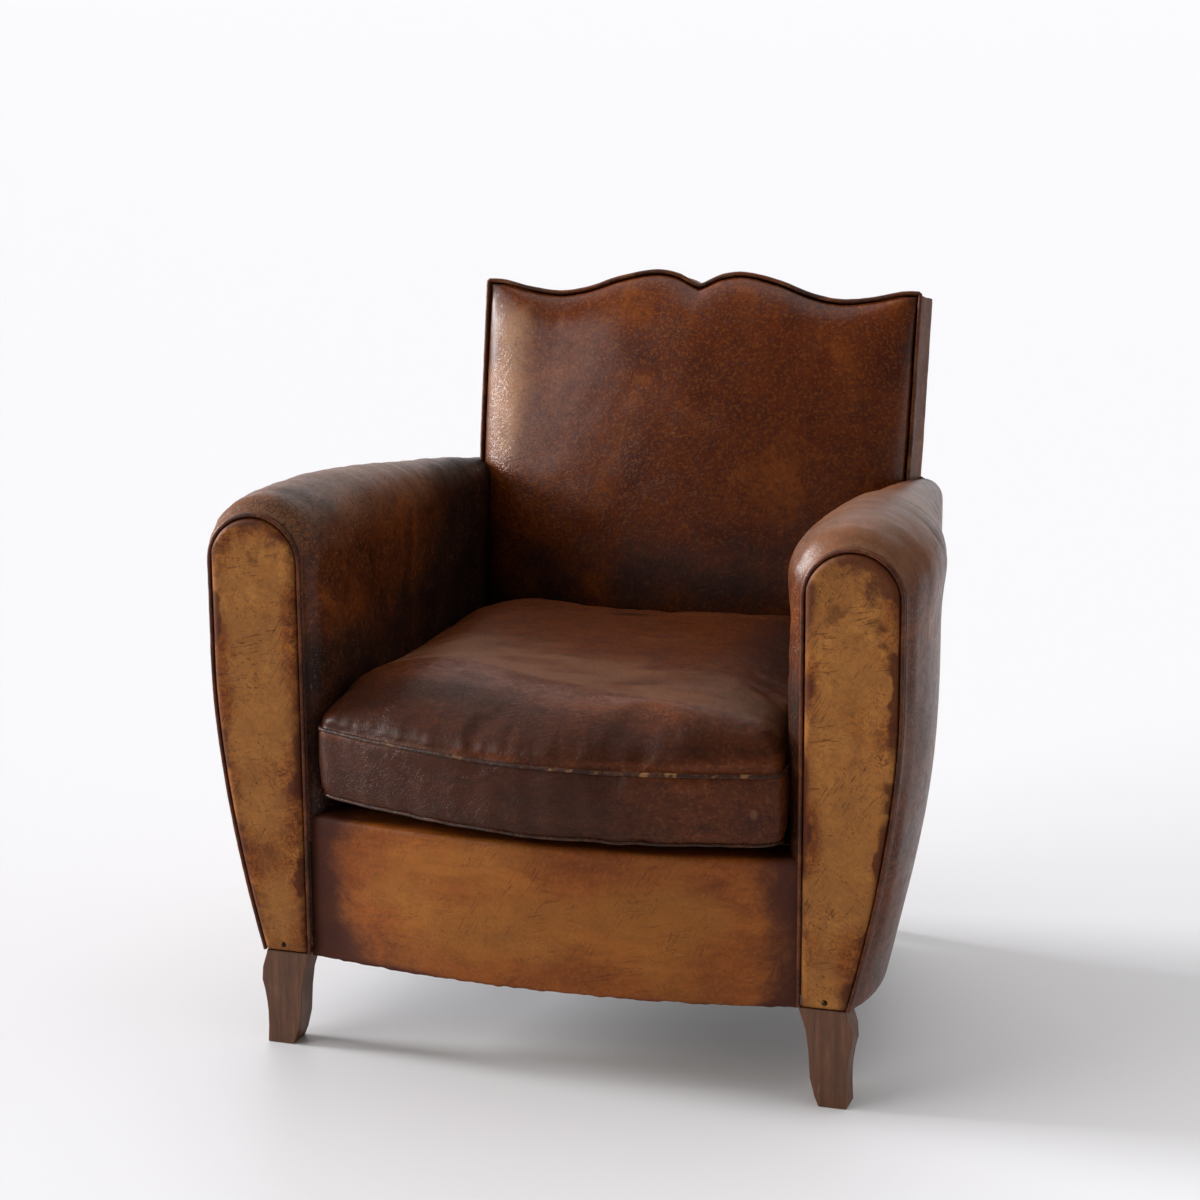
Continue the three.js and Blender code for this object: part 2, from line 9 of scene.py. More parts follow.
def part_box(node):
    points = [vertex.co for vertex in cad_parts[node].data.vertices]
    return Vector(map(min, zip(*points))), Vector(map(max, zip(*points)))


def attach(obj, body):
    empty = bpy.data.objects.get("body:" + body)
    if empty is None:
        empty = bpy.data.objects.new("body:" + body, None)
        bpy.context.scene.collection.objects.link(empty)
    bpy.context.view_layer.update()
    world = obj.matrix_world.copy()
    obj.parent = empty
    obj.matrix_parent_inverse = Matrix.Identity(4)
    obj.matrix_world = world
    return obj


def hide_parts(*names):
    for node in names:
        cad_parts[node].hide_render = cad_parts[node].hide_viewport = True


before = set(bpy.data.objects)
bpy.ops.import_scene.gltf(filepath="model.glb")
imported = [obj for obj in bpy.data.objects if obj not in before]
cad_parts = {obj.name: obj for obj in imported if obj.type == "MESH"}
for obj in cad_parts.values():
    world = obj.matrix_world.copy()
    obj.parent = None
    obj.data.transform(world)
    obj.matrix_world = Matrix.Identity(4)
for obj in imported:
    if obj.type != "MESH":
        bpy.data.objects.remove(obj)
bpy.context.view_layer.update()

scene = bpy.context.scene
mm = 0.001  # shapes are worked out in millimetres and stored in metres

# measures that several pieces share
chair = {
    "front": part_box("facing_cover_right")[0][1] / mm,  # y of the flat arm facings
    "base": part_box("arm_cover_right")[0][2] / mm,  # underside of the leather
    "flareFrom": 430,  # below this the outer sides draw in
    "flare": 51,
    "flarePower": 1.7,
    "rake": math.radians(10.7),
    "backFoot": (466.4, 123),  # lower edge of the back's front plane: behind the facings, and up
    "backThick": 75,
    "backHalf": 270,
    "backTop": 796,
    "pipe": 2.3,
}
sides = ((1, "right"), (-1, "left"))
leanCos, leanSin = math.cos(chair["rake"]), math.sin(chair["rake"])
backCorner = (chair["backTop"] - 15 - chair["backFoot"][1]) / leanCos


# ---- small tools ----
def through(pairs):
    # a smooth curve through (place, value) pairs
    places = [p for p, _ in pairs]
    values = [v for _, v in pairs]

    def slope(i):
        a = max(i - 1, 0)
        b = min(i + 1, len(pairs) - 1)
        return (values[b] - values[a]) / (places[b] - places[a])

    def value(x):
        x = min(max(x, places[0]), places[-1])
        i = min(max(bisect.bisect_right(places, x) - 1, 0), len(pairs) - 2)
        h = places[i + 1] - places[i]
        t = (x - places[i]) / h
        blend = t * t * (3 - 2 * t)
        ease = t * (1 - t) * h * ((1 - t) * slope(i) - t * slope(i + 1))
        return values[i] + (values[i + 1] - values[i]) * blend + ease

    return value


def clamp(x, low=0.0, high=1.0):
    return min(max(x, low), high)


def smooth(x, low, high):
    # 0 below low, 1 above high, eased between
    t = clamp((x - low) / (high - low))
    return t * t * (3 - 2 * t)


def ripple(x, y, z):
    return noise.noise(Vector((x, y, z)))


def cloud(p, size, seed=0.0):
    # soft noise between about -1 and 1, with lumps of the given size
    return ripple(p[0] / size + seed, p[1] / size - seed, p[2] / size + 2 * seed)


def crease(p, size, seed=0.0, sharp=3.0):
    # 1 along wandering lines, 0 away from them
    return max(0.0, 1.0 - sharp * abs(cloud(p, size, seed))) ** 2


def gauss(x, middle, width):
    return math.exp(-(((x - middle) / width) ** 2))


def below(x, low, high):
    # 1 below low, 0 above high, eased between
    return 1 - smooth(x, low, high)


def fade(far, reach):
    # 1 at an edge, dying away with the distance from it
    return math.exp(-max(0.0, far) / reach)


def rounded(edge, radius):
    # how far a rounded rim drops at a distance in from its edge
    return radius * (1 - math.sqrt(1 - (1 - clamp(edge / radius)) ** 2))


def gridOf(columns, rows, place):
    # a flat grid whose vertices are sent to place(u, v), in millimetres
    bm = bmesh.new()
    bmesh.ops.create_grid(bm, x_segments=columns, y_segments=rows, size=1)
    for v in bm.verts:
        v.co = Vector(place((v.co.x + 1) / 2, (v.co.y + 1) / 2))
    return bm


def faceAwayFrom(bm, middle):
    # turn an open sheet so that its faces look away from a point
    bm.normal_update()
    total = sum(f.normal.dot(f.calc_center_median() - Vector(middle)) * f.calc_area() for f in bm.faces)
    if total < 0:
        bmesh.ops.reverse_faces(bm, faces=bm.faces[:])


def pushOut(bm, amount):
    # move every vertex along its normal by amount(place, normal)
    bm.normal_update()
    moves = [(v, v.normal.copy(), amount(v.co, v.normal)) for v in bm.verts]
    for v, normal, far in moves:
        v.co += normal * far


def paint(bm, **layers):
    # store the wear, the dirt and the painted light as vertex attributes, each from its own function of place
    for name, value in layers.items():
        layer = bm.verts.layers.float.new(name)
        for v in bm.verts:
            v[layer] = clamp(value(v.co))


def resize(bm, times):
    bmesh.ops.scale(bm, vec=(times, times, times), verts=bm.verts[:])


def objectOf(bm, name):
    # an object in the scene with the bmesh, which is used up
    mesh = bpy.data.meshes.new(name)
    bm.to_mesh(mesh)
    bm.free()
    obj = bpy.data.objects.new(name, mesh)
    scene.collection.objects.link(obj)
    return obj


def settled(obj):
    # a mesh of the object with its modifiers applied
    return bpy.data.meshes.new_from_object(obj.evaluated_get(bpy.context.evaluated_depsgraph_get()))


def keep(bm, name, material, replaced=(), thick=0.0):
    # turn the bmesh into a finished piece that stands for the CAD nodes named
    resize(bm, mm)
    for f in bm.faces:
        f.smooth = True
    obj = objectOf(bm, name)
    obj.data.materials.append(material)
    if thick:
        wall = obj.modifiers.new("Leather thickness", "SOLIDIFY")
        wall.thickness = thick * mm
        wall.offset = -1
        wall.use_rim = True
    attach(obj, "root")
    if replaced:
        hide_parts(*replaced)
    return obj


# ---- materials ----
def linear(code):
    # sRGB hex to a linear colour
    parts = [int(code[i:i + 2], 16) / 255 for i in (1, 3, 5)]
    return tuple(c / 12.92 if c <= 0.04045 else ((c + 0.055) / 1.055) ** 2.4 for c in parts) + (1.0,)


def add(tree, kind, settings=None, **sockets):
    # one shader node; a socket given another socket is linked, and one given a value holds it
    n = tree.nodes.new("ShaderNode" + kind)
    for key, value in (settings or {}).items():
        setattr(n, key, value)
    for key, value in sockets.items():
        target = n.inputs[int(key[1:])] if key[1:].isdigit() else n.inputs[key.replace("_", " ")]
        if isinstance(value, bpy.types.NodeSocket):
            tree.links.new(value, target)
        else:
            target.default_value = value
    return n


def hold(node, **values):
    for key, value in values.items():
        node.inputs[key.replace("_", " ")].default_value = value


def ramp(tree, fac, stops):
    # a colour ramp through (position, value) stops; a value is a number or a hex colour
    n = add(tree, "ValToRGB", Fac=fac)
    n.color_ramp.interpolation = "EASE"
    for i, (place, value) in enumerate(stops):
        e = n.color_ramp.elements[i] if i < 2 else n.color_ramp.elements.new(place)
        e.position = place
        e.color = linear(value) if isinstance(value, str) else (value, value, value, 1.0)
    return n.outputs["Color"]


def mix(tree, fac, a, b):
    return add(tree, "Mix", {"data_type": "RGBA"}, i0=fac, i6=a, i7=b).outputs[2]


def maths(tree, how, a, b=0.0, c=0.0):
    return add(tree, "Math", {"operation": how}, i0=a, i1=b, i2=c).outputs[0]


def times(tree, a, b, plus=None):
    # a times b, and plus a third where there is one
    return maths(tree, "MULTIPLY", a, b) if plus is None else maths(tree, "MULTIPLY_ADD", a, b, plus)


def bare(name):
    # an empty node material with its surface shader and its Object coordinates
    material = bpy.data.materials.new(name)
    material.use_nodes = True
    tree = material.node_tree
    tree.nodes.clear()
    coord = add(tree, "TexCoord").outputs["Object"]
    shader = add(tree, "BsdfPrincipled")
    out = add(tree, "OutputMaterial")
    tree.links.new(shader.outputs["BSDF"], out.inputs["Surface"])
    return material, tree, coord, shader


def noiseAt(tree, coord, size, detail=4.0, rough=0.55, warp=0.0, stretch=(1, 1, 1), turn=(0, 0, 0)):
    # noise whose lumps are about size millimetres across, and stretch times as long along turned axes
    moved = add(tree, "Mapping", {"vector_type": "TEXTURE"}, Vector=coord, Scale=stretch, Rotation=turn)
    n = add(tree, "TexNoise", Vector=moved.outputs[0],
            Scale=1 / (size * mm), Detail=detail, Roughness=rough, Distortion=warp)
    return n.outputs["Fac"]


def leather(name, look):
    # aniline-dyed sheepskin, waxed and worn: the dye lies in clouds, rubbed high spots are paler and duller,
    # the grain shows as small pebbles, and fine cracks and scratches let the raw hide through
    material, tree, coord, shader = bare(name)
    clouds = noiseAt(tree, coord, look["cloudSize"], 3, 0.6, 0.6, look["streak"])
    colour = ramp(tree, clouds, look["dye"])
    mottle = noiseAt(tree, coord, look["mottleSize"], 3, 0.68, 0.8, look["streak"])
    spots = ramp(tree, mottle, [(0.44, 0.0), (0.62, look["mottle"])])
    colour = mix(tree, spots, colour, linear(look["mottleColour"]))
    flecks = noiseAt(tree, coord, look["fleckSize"], 2, 0.7)
    colour = mix(tree, ramp(tree, flecks, [(0.5, 0.0), (0.64, look["fleck"])]), colour, linear(look["fleckColour"]))

    # the wear layer is rubbing, and on the back and the seat also a painted highlight and sheen; the grime layer is
    # dirt, and in the arms' corners, low on the back and over the seat's crown also painted shade
    wear, grime, cracked = (add(tree, "Attribute", {"attribute_name": layer}).outputs["Fac"]
                            for layer in ("wear", "grime", "cracked"))
    patchy = noiseAt(tree, coord, look["patchSize"], 4, 0.7, 0.5)
    worn = ramp(tree, times(tree, wear, 1.1, times(tree, patchy, 0.55)),
                [(0.42, 0.0), (0.95, 1.0)])
    colour = mix(tree, times(tree, worn, look["wornAndSheenStrength"]), colour, linear(look["wornAndSheenColour"]))
    stain = noiseAt(tree, coord, look["patchSize"] * 0.6, 4, 0.75, 1.0)
    dirtAndShade = ramp(tree, times(tree, grime, 1.15, times(tree, stain, 0.6)),
                 [(0.45, 0.0), (1.0, 1.0)])
    colour = mix(tree, times(tree, dirtAndShade, look["grimeStrength"]), colour, linear(look["grimeColour"]))

    # scratches: long thin noise turned several ways, broken up by patches of its own
    # (real ones are about 0.3 mm wide and are drawn nearer 0.8 mm so that they show)
    scratchBump = None
    for turn, long in ((0.5, 17), (-0.9, 14), (1.35, 21)):
        line = noiseAt(tree, coord, 1.9, 1, 0.5, 0.4, (1, 1, long), (0.2, turn, 0.3))
        line = ramp(tree, line, [(0.62, 0.0), (0.68, 1.0)])
        broken = ramp(tree, noiseAt(tree, coord, 17 + 2 * long, 2, 0.65), [(0.46, 0.0), (0.6, 1.0)])
        line = times(tree, line, broken)
        colour = mix(tree, times(tree, line, look["scratch"]), colour, linear(look["scratchColour"]))
        scratchBump = line if scratchBump is None else maths(tree, "ADD", scratchBump, line)

    # cracks: the edges of small cells, warped, shown where the hide is dry
    bent = add(tree, "TexNoise", Vector=coord, Scale=90.0, Detail=2.0)
    warped = add(tree, "Mix", {"data_type": "VECTOR"}, i0=0.012, i4=coord, i5=bent.outputs["Color"])
    cells = add(tree, "TexVoronoi", {"feature": "DISTANCE_TO_EDGE"}, Vector=warped.outputs[1],
                Scale=1 / (look["crackSize"] * mm))
    gap = ramp(tree, cells.outputs["Distance"], [(0.0, 1.0), (look["crackWidth"], 0.0)])
    where = ramp(tree, times(tree, cracked, 0.8, times(tree, patchy, 0.5)),
                 [(0.5, 0.0), (0.85, 1.0)])
    crack = times(tree, gap, where)
    colour = mix(tree, times(tree, crack, look["crack"]), colour, linear(look["crackColour"]))

    # grain: pebbles of about 1 mm on the real hide, drawn at grainSize so that they show
    grain = add(tree, "TexVoronoi", Vector=warped.outputs[1],
                Scale=1 / (look["grainSize"] * mm)).outputs["Distance"]
    fine = noiseAt(tree, coord, look["grainSize"] * 0.7, 1, 0.6)
    height = times(tree, grain, -look["grain"])
    height = times(tree, fine, look["grain"] * 1.2, height)
    height = times(tree, crack, -0.9, height)
    height = times(tree, scratchBump, -0.35, height)
    height = times(tree, mottle, look["lumps"], height)
    bump = add(tree, "Bump", Strength=look["bump"], Distance=0.0011, Height=height)
    tree.links.new(bump.outputs["Normal"], shader.inputs["Normal"])

    rough = ramp(tree, mottle, [(0.3, look["rough"][0]), (0.7, look["rough"][1])])
    rough = mix(tree, times(tree, worn, 0.7), rough, (look["wornRough"],) * 3 + (1.0,))
    rough = mix(tree, times(tree, dirtAndShade, 0.7), rough, (look["grimeRough"],) * 3 + (1.0,))
    tree.links.new(rough, shader.inputs["Roughness"])
    tree.links.new(colour, shader.inputs["Base Color"])
    hold(shader, IOR=1.5, Specular_IOR_Level=look["specular"], Coat_Weight=look["coat"], Coat_Roughness=0.32)
    return material


plainHide = {
    "cloudSize": 90, "dye": [(0.28, "#3a1809"), (0.50, "#55280f"), (0.72, "#6f3a17")],
    "mottleSize": 12, "mottle": 0.45, "mottleColour": "#2d1106", "streak": (1, 1, 1),
    "fleckSize": 4.5, "fleck": 0.28, "fleckColour": "#8a4d1d",
    "patchSize": 30, "wornAndSheenStrength": 0.6, "wornAndSheenColour": "#86603f", "wornRough": 0.42,
    "grimeStrength": 0.9, "grimeColour": "#1c0d08", "grimeRough": 0.62,
    "scratch": 0.14, "scratchColour": "#8a5a36",
    "crackSize": 5, "crackWidth": 0.05, "crack": 0.5, "crackColour": "#170a06",
    "grainSize": 2.4, "grain": 0.3, "lumps": 0.1, "bump": 0.3,
    "rough": (0.3, 0.42), "specular": 0.22, "coat": 0.03,
}
# on the back, the worn colour mostly paints a highlight down the left side, and the grime colour painted shade low
# down
backHide = leather("waxed russet sheepskin", {**plainHide,
    "dye": [(0.25, "#451804"), (0.50, "#5c2607"), (0.75, "#783b0f")],
    "mottleColour": "#3a1405", "fleckColour": "#95531c", "fleck": 0.3, "fleckSize": 4,
    "grimeColour": "#1f0a04", "wornAndSheenColour": "#ad7a4c", "wornRough": 0.27,
    "rough": (0.18, 0.25), "specular": 0.3, "coat": 0.1, "bump": 0.2, "scratch": 0.1})
boxingHide = leather("dull brown sheepskin", {**plainHide, "mottle": 0.3, "grimeStrength": 0.5, "wornAndSheenStrength": 0.3,
    "rough": (0.45, 0.55), "specular": 0.1, "coat": 0.0})
# on the arms, the grime colour also paints shade in the inner corners
armHide = leather("cracked brown sheepskin", {**plainHide,
    "dye": [(0.30, "#321407"), (0.50, "#50240e"), (0.72, "#733a17")],
    "wornAndSheenColour": "#84583a", "wornAndSheenStrength": 0.5, "crack": 0.7, "crackSize": 8, "crackWidth": 0.085,
    "scratch": 0.4, "grimeColour": "#140704"})
facingHide = leather("rubbed tan sheepskin", {**plainHide,
    "cloudSize": 40, "dye": [(0.30, "#68330d"), (0.50, "#8a4d19"), (0.72, "#a5682b")],
    "mottleSize": 7, "mottle": 0.8, "mottleColour": "#5c2a0b",
    "fleckSize": 2.4, "fleck": 0.6, "fleckColour": "#54290f", "patchSize": 14,
    "wornAndSheenColour": "#b07a3f", "wornAndSheenStrength": 0.45, "wornRough": 0.5, "grimeColour": "#43190b",
    "grimeStrength": 0.8, "scratch": 0.62, "scratchColour": "#48200d", "crack": 0.3, "crackColour": "#4c230d",
    "rough": (0.38, 0.5), "coat": 0.0, "specular": 0.15})
apronHide = leather("chestnut sheepskin", {**plainHide,
    "cloudSize": 50, "dye": [(0.28, "#6a320d"), (0.50, "#864617"), (0.74, "#9a571f")],
    "mottleColour": "#66310f", "mottle": 0.4, "streak": (3.2, 1, 1), "fleckColour": "#a0622a", "fleck": 0.25,
    "wornAndSheenColour": "#9e6729", "wornAndSheenStrength": 0.45, "specular": 0.15, "grimeColour": "#3c1a13", "patchSize": 40,
    "scratch": 0.4, "scratchColour": "#4b220e", "crack": 0.3, "rough": (0.36, 0.46)})
# on the seat, the worn colour also paints a sheen band where the crown turns level, and the grime colour painted
# shade over the crown's front slope
cushionHide = leather("wrinkled dark sheepskin", {**plainHide,
    "cloudSize": 70, "dye": [(0.25, "#51230e"), (0.50, "#622e13"), (0.78, "#773e1c")],
    "mottleColour": "#3a1b0b", "mottle": 0.5, "mottleSize": 9, "streak": (3.5, 1.6, 1), "fleckColour": "#80502b",
    "fleck": 0.34, "wornAndSheenColour": "#8a5f42", "wornAndSheenStrength": 0.52, "grimeColour": "#27120b", "grimeStrength": 0.76,
    "grimeRough": 0.44, "bump": 0.45, "patchSize": 38, "scratch": 0.06, "specular": 0.14,
    "coat": 0.0})
pipingHide = leather("brown piping sheepskin", {**plainHide,
    "cloudSize": 40, "dye": [(0.30, "#40190a"), (0.50, "#5c2a10"), (0.72, "#7a3f1c")],
    "mottleSize": 7, "wornAndSheenColour": "#9a6a3c", "wornAndSheenStrength": 0.8, "patchSize": 7, "crackSize": 4})
weltHide = leather("cracked dark welt sheepskin", {**plainHide,
    "cloudSize": 30, "dye": [(0.30, "#1d0e08"), (0.50, "#30180d"), (0.72, "#472615")],
    "mottleSize": 6, "wornAndSheenColour": "#94683f", "wornAndSheenStrength": 0.8, "patchSize": 3.2, "crackSize": 3})
print("leathers made")


def wood(name, tones, pores, rough):
    # grain along z: long stretched streaks, darker pores, broad clouds of tone
    material, tree, coord, shader = bare(name)
    streak = noiseAt(tree, coord, 6, 5, 0.6, 0.4, (1, 1, 16))
    colour = ramp(tree, streak, [(0.3, tones[0]), (0.5, tones[1]), (0.7, tones[2])])
    pore = noiseAt(tree, coord, 1.6, 2, 0.5, 0.2, (1, 1, 20))
    pore = ramp(tree, pore, [(0.58, 0.0), (0.7, pores)])
    colour = mix(tree, pore, colour, linear(tones[0]))
    broad = noiseAt(tree, coord, 38, 4, 0.6, 0.5, (1, 1, 2))
    colour = mix(tree, ramp(tree, broad, [(0.4, 0.55), (0.66, 0.0)]), colour, linear(tones[3]))
    tree.links.new(colour, shader.inputs["Base Color"])
    height = times(tree, pore, -0.6, times(tree, streak, 0.4))
    bump = add(tree, "Bump", Strength=0.35, Distance=0.0006, Height=height)
    tree.links.new(bump.outputs["Normal"], shader.inputs["Normal"])
    tree.links.new(ramp(tree, broad, [(0.35, rough[1]), (0.7, rough[0])]), shader.inputs["Roughness"])
    return material


def plainStuff(name, tones, size, rough, metallic=0.0, weave=0.0, bump=0.5):
    # one colour with soft clouds; weave draws threads of that many millimetres along x and y
    material, tree, coord, shader = bare(name)
    clouds = noiseAt(tree, coord, size, 4, 0.65)
    colour = ramp(tree, clouds, [(0.32, tones[0]), (0.68, tones[1])])
    height = clouds
    if weave:
        threads = []
        for axis in (0, 1):
            turned = add(tree, "TexWave", {"bands_direction": "XY"[axis]}, Vector=coord,
                         Scale=0.31 / (weave * mm), Distortion=0.6)
            threads.append(turned.outputs["Fac"])
        height = maths(tree, "MAXIMUM", *threads)
        colour = mix(tree, ramp(tree, height, [(0.3, 0.6), (0.8, 0.0)]), colour, linear(tones[2]))
    tree.links.new(colour, shader.inputs["Base Color"])
    node = add(tree, "Bump", Strength=bump, Distance=0.0008, Height=height)
    tree.links.new(node.outputs["Normal"], shader.inputs["Normal"])
    hold(shader, Roughness=rough, Metallic=metallic)
    return material


# threads of about 1 mm in the jute, the hessian and the cambric are drawn 3 mm apart so that they show
inside = {
    "walnut_wood": wood("worn walnut with old varnish", ("#47250f", "#633a1d", "#7c5030", "#4e2b13"),
                        0.45, (0.45, 0.62)),
    "frame_wood": wood("bare beech", ("#9a7448", "#b8925f", "#cba878", "#a8834f"), 0.35, (0.6, 0.75)),
    "jute_webbing": plainStuff("jute webbing", ("#94774a", "#ab8c5c", "#5f4a2b"), 40, 0.9, weave=3.0),
    "spring_steel": plainStuff("dull spring steel", ("#5a554f", "#837c74"), 18, 0.42, 1.0),
    "burlap": plainStuff("hessian", ("#8d7347", "#a48757", "#5c4829"), 30, 0.95, weave=3.0),
    "horsehair": plainStuff("curled horsehair", ("#1d1712", "#3b2f25"), 6, 0.9, bump=1.0),
    "nail_brass": plainStuff("dark brass nail", ("#1d140c", "#4a3823"), 2.5, 0.45, 1.0),
    "dust_cloth": plainStuff("black cambric", ("#15130f", "#26221d", "#0b0a08"), 50, 0.95, weave=3.0),
}


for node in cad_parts.values():
    for slot in node.material_slots:
        if slot.material.name in inside:
            slot.material = inside[slot.material.name]
print("woods and inner materials made")

# ---- the outlines that the pieces share ----
# behind the facings: the arm's inner and outer sides and its ridge
armInner = through([(10, 273), (22, 262), (42, 255), (77, 251), (637, 251)])
armOuter = through([(10, 381), (32, 387), (77, 392), (137, 388), (237, 368), (387, 338), (637, 290)])
armRidge = through([(10, 597), (17, 606), (32, 612), (127, 613), (257, 604), (357, 592), (457, 579), (637, 550)])
# the moustache: corners, a sag, two humps and a notch in the middle
moustache = through([(0, 1), (7, 3.6), (28, 13.5), (56, 17), (100, 8), (140, -6), (176, -12), (215, -8),
                     (250, -0.5), (270, 0)])
backHalf = through([(0, 214), (120, 232), (250, 254), (400, 266), (backCorner, chair["backHalf"])])


def flareAt(z):
    if z >= chair["flareFrom"]:
        return 0.0
    share = (chair["flareFrom"] - z) / (chair["flareFrom"] - chair["base"])
    return chair["flare"] * share ** chair["flarePower"]


def backPoint(x, t, s):
    # a point of the raked back: t behind its front plane, s up the rake
    y, z = chair["backFoot"]
    return Vector((x, chair["front"] + y + t * leanCos + s * leanSin, z - t * leanSin + s * leanCos))


def backTopAt(x):
    return backCorner + moustache(abs(x))


def armLine(behind, share, low=0.0, out=0.0):
    # a point of the arm's tombstone section, share 0 at the inner foot to 1 at the outer foot
    inner, outer, ridge = armInner(behind) - out, armOuter(behind) + out, armRidge(behind) + out
    half = (outer - inner) / 2
    spring = ridge - half
    start = max(low, chair["base"])
    lengths = (spring - start, math.pi * half, (spring - chair["base"]) * 1.02)
    along = share * sum(lengths)
    if along < lengths[0]:
        return inner, start + along
    along -= lengths[0]
    if along < lengths[1]:
        a = math.pi - along / half
        return inner + half + half * math.cos(a), spring + half * math.sin(a)
    z = spring - (along - lengths[1]) / 1.02
    return outer - flareAt(z), max(z, chair["base"])


# ---- arm covers ----
armSettings = {"columns": 130, "rows": 150, "low": 234, "thick": 2.2, "puckers": 1.2, "wrinkles": 0.8,
               "fill": 0.85}
# the right arm is stuffed a little fuller behind the facing
fuller = {"right": 7.0, "left": 0.0}


def armCover(side, name):
    s = armSettings

    def place(u, v):
        behind = 6 + u * 480
        for _ in range(3):
            x, z = armLine(behind, v, s["low"])
            foot, low = chair["backFoot"]
            rear = foot + chair["backThick"] * leanCos
            rear += (z - low + chair["backThick"] * leanSin) * math.tan(chair["rake"])
            behind = 6 + u * (rear - 6)
        return side * x, chair["front"] + behind, z

    bm = gridOf(s["columns"], s["rows"], place)
    faceAwayFrom(bm, (side * 320, 0, 350))

    def relief(p, normal):
        behind = p.y - chair["front"]
        high = smooth(p.z, 430, 560)
        near = fade(behind - 10, 34)
        hem = smooth(behind, 10, 22)
        # short puckers where the hide is gathered to the piping
        around = math.atan2(p.z - 540, (p.x - side * 327))
        pucker = ripple(around * 7.5, behind / 60, side * 5) * near * hem * s["puckers"] * 2
        # soft hollows and long wrinkles over the roll
        soft = 2.0 + cloud(p, 110, 3.1 * side) * 2.0
        rolls = -crease(Vector((p.x * 0.5, p.y * 1.6, p.z * 0.7)), 55, 7 + side, 2.2) * s["wrinkles"] * (0.3 + high)
        fine = -crease(Vector((p.x * 0.6, p.y * 2.0, p.z)), 17, 11 + side, 2.6) * (0.75 if side < 0 else 0.35) * high
        full = fuller[name] * smooth(behind, 8, 70) * below(behind, 150, 330) * smooth(p.z, 500, 580)
        return (pucker + soft + rolls + fine + full) * smooth(behind, 10, 26)

    pushOut(bm, relief)
    bmesh.ops.smooth_vert(bm, verts=bm.verts[:], factor=0.3, use_axis_x=True, use_axis_y=True, use_axis_z=True)

    def wear(p):
        ridge = smooth(p.z, 520, 606)
        behind = p.y - chair["front"]
        rubbed = 0.55 * ridge * below(behind, 380, 520) + 0.25 * cloud(p, 60, 2)
        return rubbed + 0.35 * gauss(behind, 12, 10) * ridge

    def grime(p):
        behind = p.y - chair["front"]
        inside = smooth(-side * (p.x - side * 300), 0, 40)
        # painted shade: the inner side is darker deep towards the back and low down by the seat
        cornerShade = smooth(behind, 250, 460) * inside
        dark = 0.5 * gauss(p.x, -295, 45) * gauss(behind, 70, 55) * smooth(p.z, 540, 590)
        lower = 0.5 * inside * below(p.z, 420, 560)
        return dark + 0.6 * cornerShade + lower + 0.08 * gauss(behind, 10, 7) + 0.2 * cloud(p, 50, 9)

    def cracked(p):
        return (0.95 if side < 0 else 0.35) * smooth(p.z, 500, 600) + 0.5 * cloud(p, 60, 21)

    paint(bm, wear=wear, grime=grime, cracked=cracked)
    piece = keep(bm, "arm_leather_" + name, armHide, ["arm_cover_" + name], s["thick"])


for side, name in sides:
    armCover(side, name)
print("arm covers made")

# ---- arm facings ----
facing = {"columns": 40, "rows": 160, "inset": 4.3, "round": 8.0, "proud": 0.3,
          "section": 10, "hem": 2.0, "thick": 2.0}


def facingCover(side, name):
    f = facing
    inner, outer = armInner(f["section"]) + f["inset"], armOuter(f["section"]) - f["inset"]
    half = (outer - inner) / 2
    spring = armRidge(f["section"]) - f["inset"] - half
    low = chair["base"] + f["hem"]

    def place(u, v):
        a = 2 * u - 1
        arch = math.sqrt(max(0.0, 1 - a * a))
        top = spring + half * arch
        z = low + v * (top - low)
        x = inner + u * (outer - flareAt(z) - inner)
        edge = min(x - inner, outer - flareAt(z) - x, (top - z) * (0.3 + 0.7 * arch), z - low + 3)
        drop = rounded(edge, f["round"])
        soft = 0.7 * cloud((x, side * 90, z), 40, 5 * side) + 0.25 * cloud((x, side * 90, z), 13, side)
        return side * x, chair["front"] - f["proud"] + drop - soft * smooth(edge, 0, 12), z

    bm = gridOf(f["columns"], f["rows"], place)
    faceAwayFrom(bm, (side * 327, 1000, 350))

    def edgeAt(p):
        x = side * p.x
        top = spring + math.sqrt(max(0.0, half ** 2 - (clamp(x, inner, outer) - inner - half) ** 2))
        return min(x - inner, outer - flareAt(p.z) - x, top - p.z)

    def grime(p):
        edge = edgeAt(p)
        rim = below(edge, 1, 15 + 9 * cloud(p, 35, 2))
        patches = smooth(cloud(Vector((p.x, 0, p.z * 0.7)), 44, 7 + side), -0.1, 0.3)
        blot = smooth(cloud(p, 26, 4 + side) + 0.45 * cloud(p, 9, 2), -0.06, 0.4)
        outerSide = smooth(side * p.x, 350, 380) if side > 0 else 0.0
        low = below(p.z, 110, 170)
        stained = blot * (0.5 * (0.45 + rim * patches) + 0.35 * outerSide)
        top = (0.3 if side > 0 else 0.16) * smooth(p.z, 470, 570)
        return top + rim * (0.2 + 0.45 * patches) + stained + 0.12 * low

    def wear(p):
        return 0.35 + 0.5 * cloud(p, 55, 12 + side) + 0.3 * smooth(edgeAt(p), 8, 30)

    paint(bm, wear=wear, grime=grime, cracked=lambda p: 0.3 + 0.4 * cloud(p, 40, 31))
    keep(bm, "facing_leather_" + name, facingHide, ["facing_cover_" + name], f["thick"])


for side, name in sides:
    facingCover(side, name)
print("facings made")


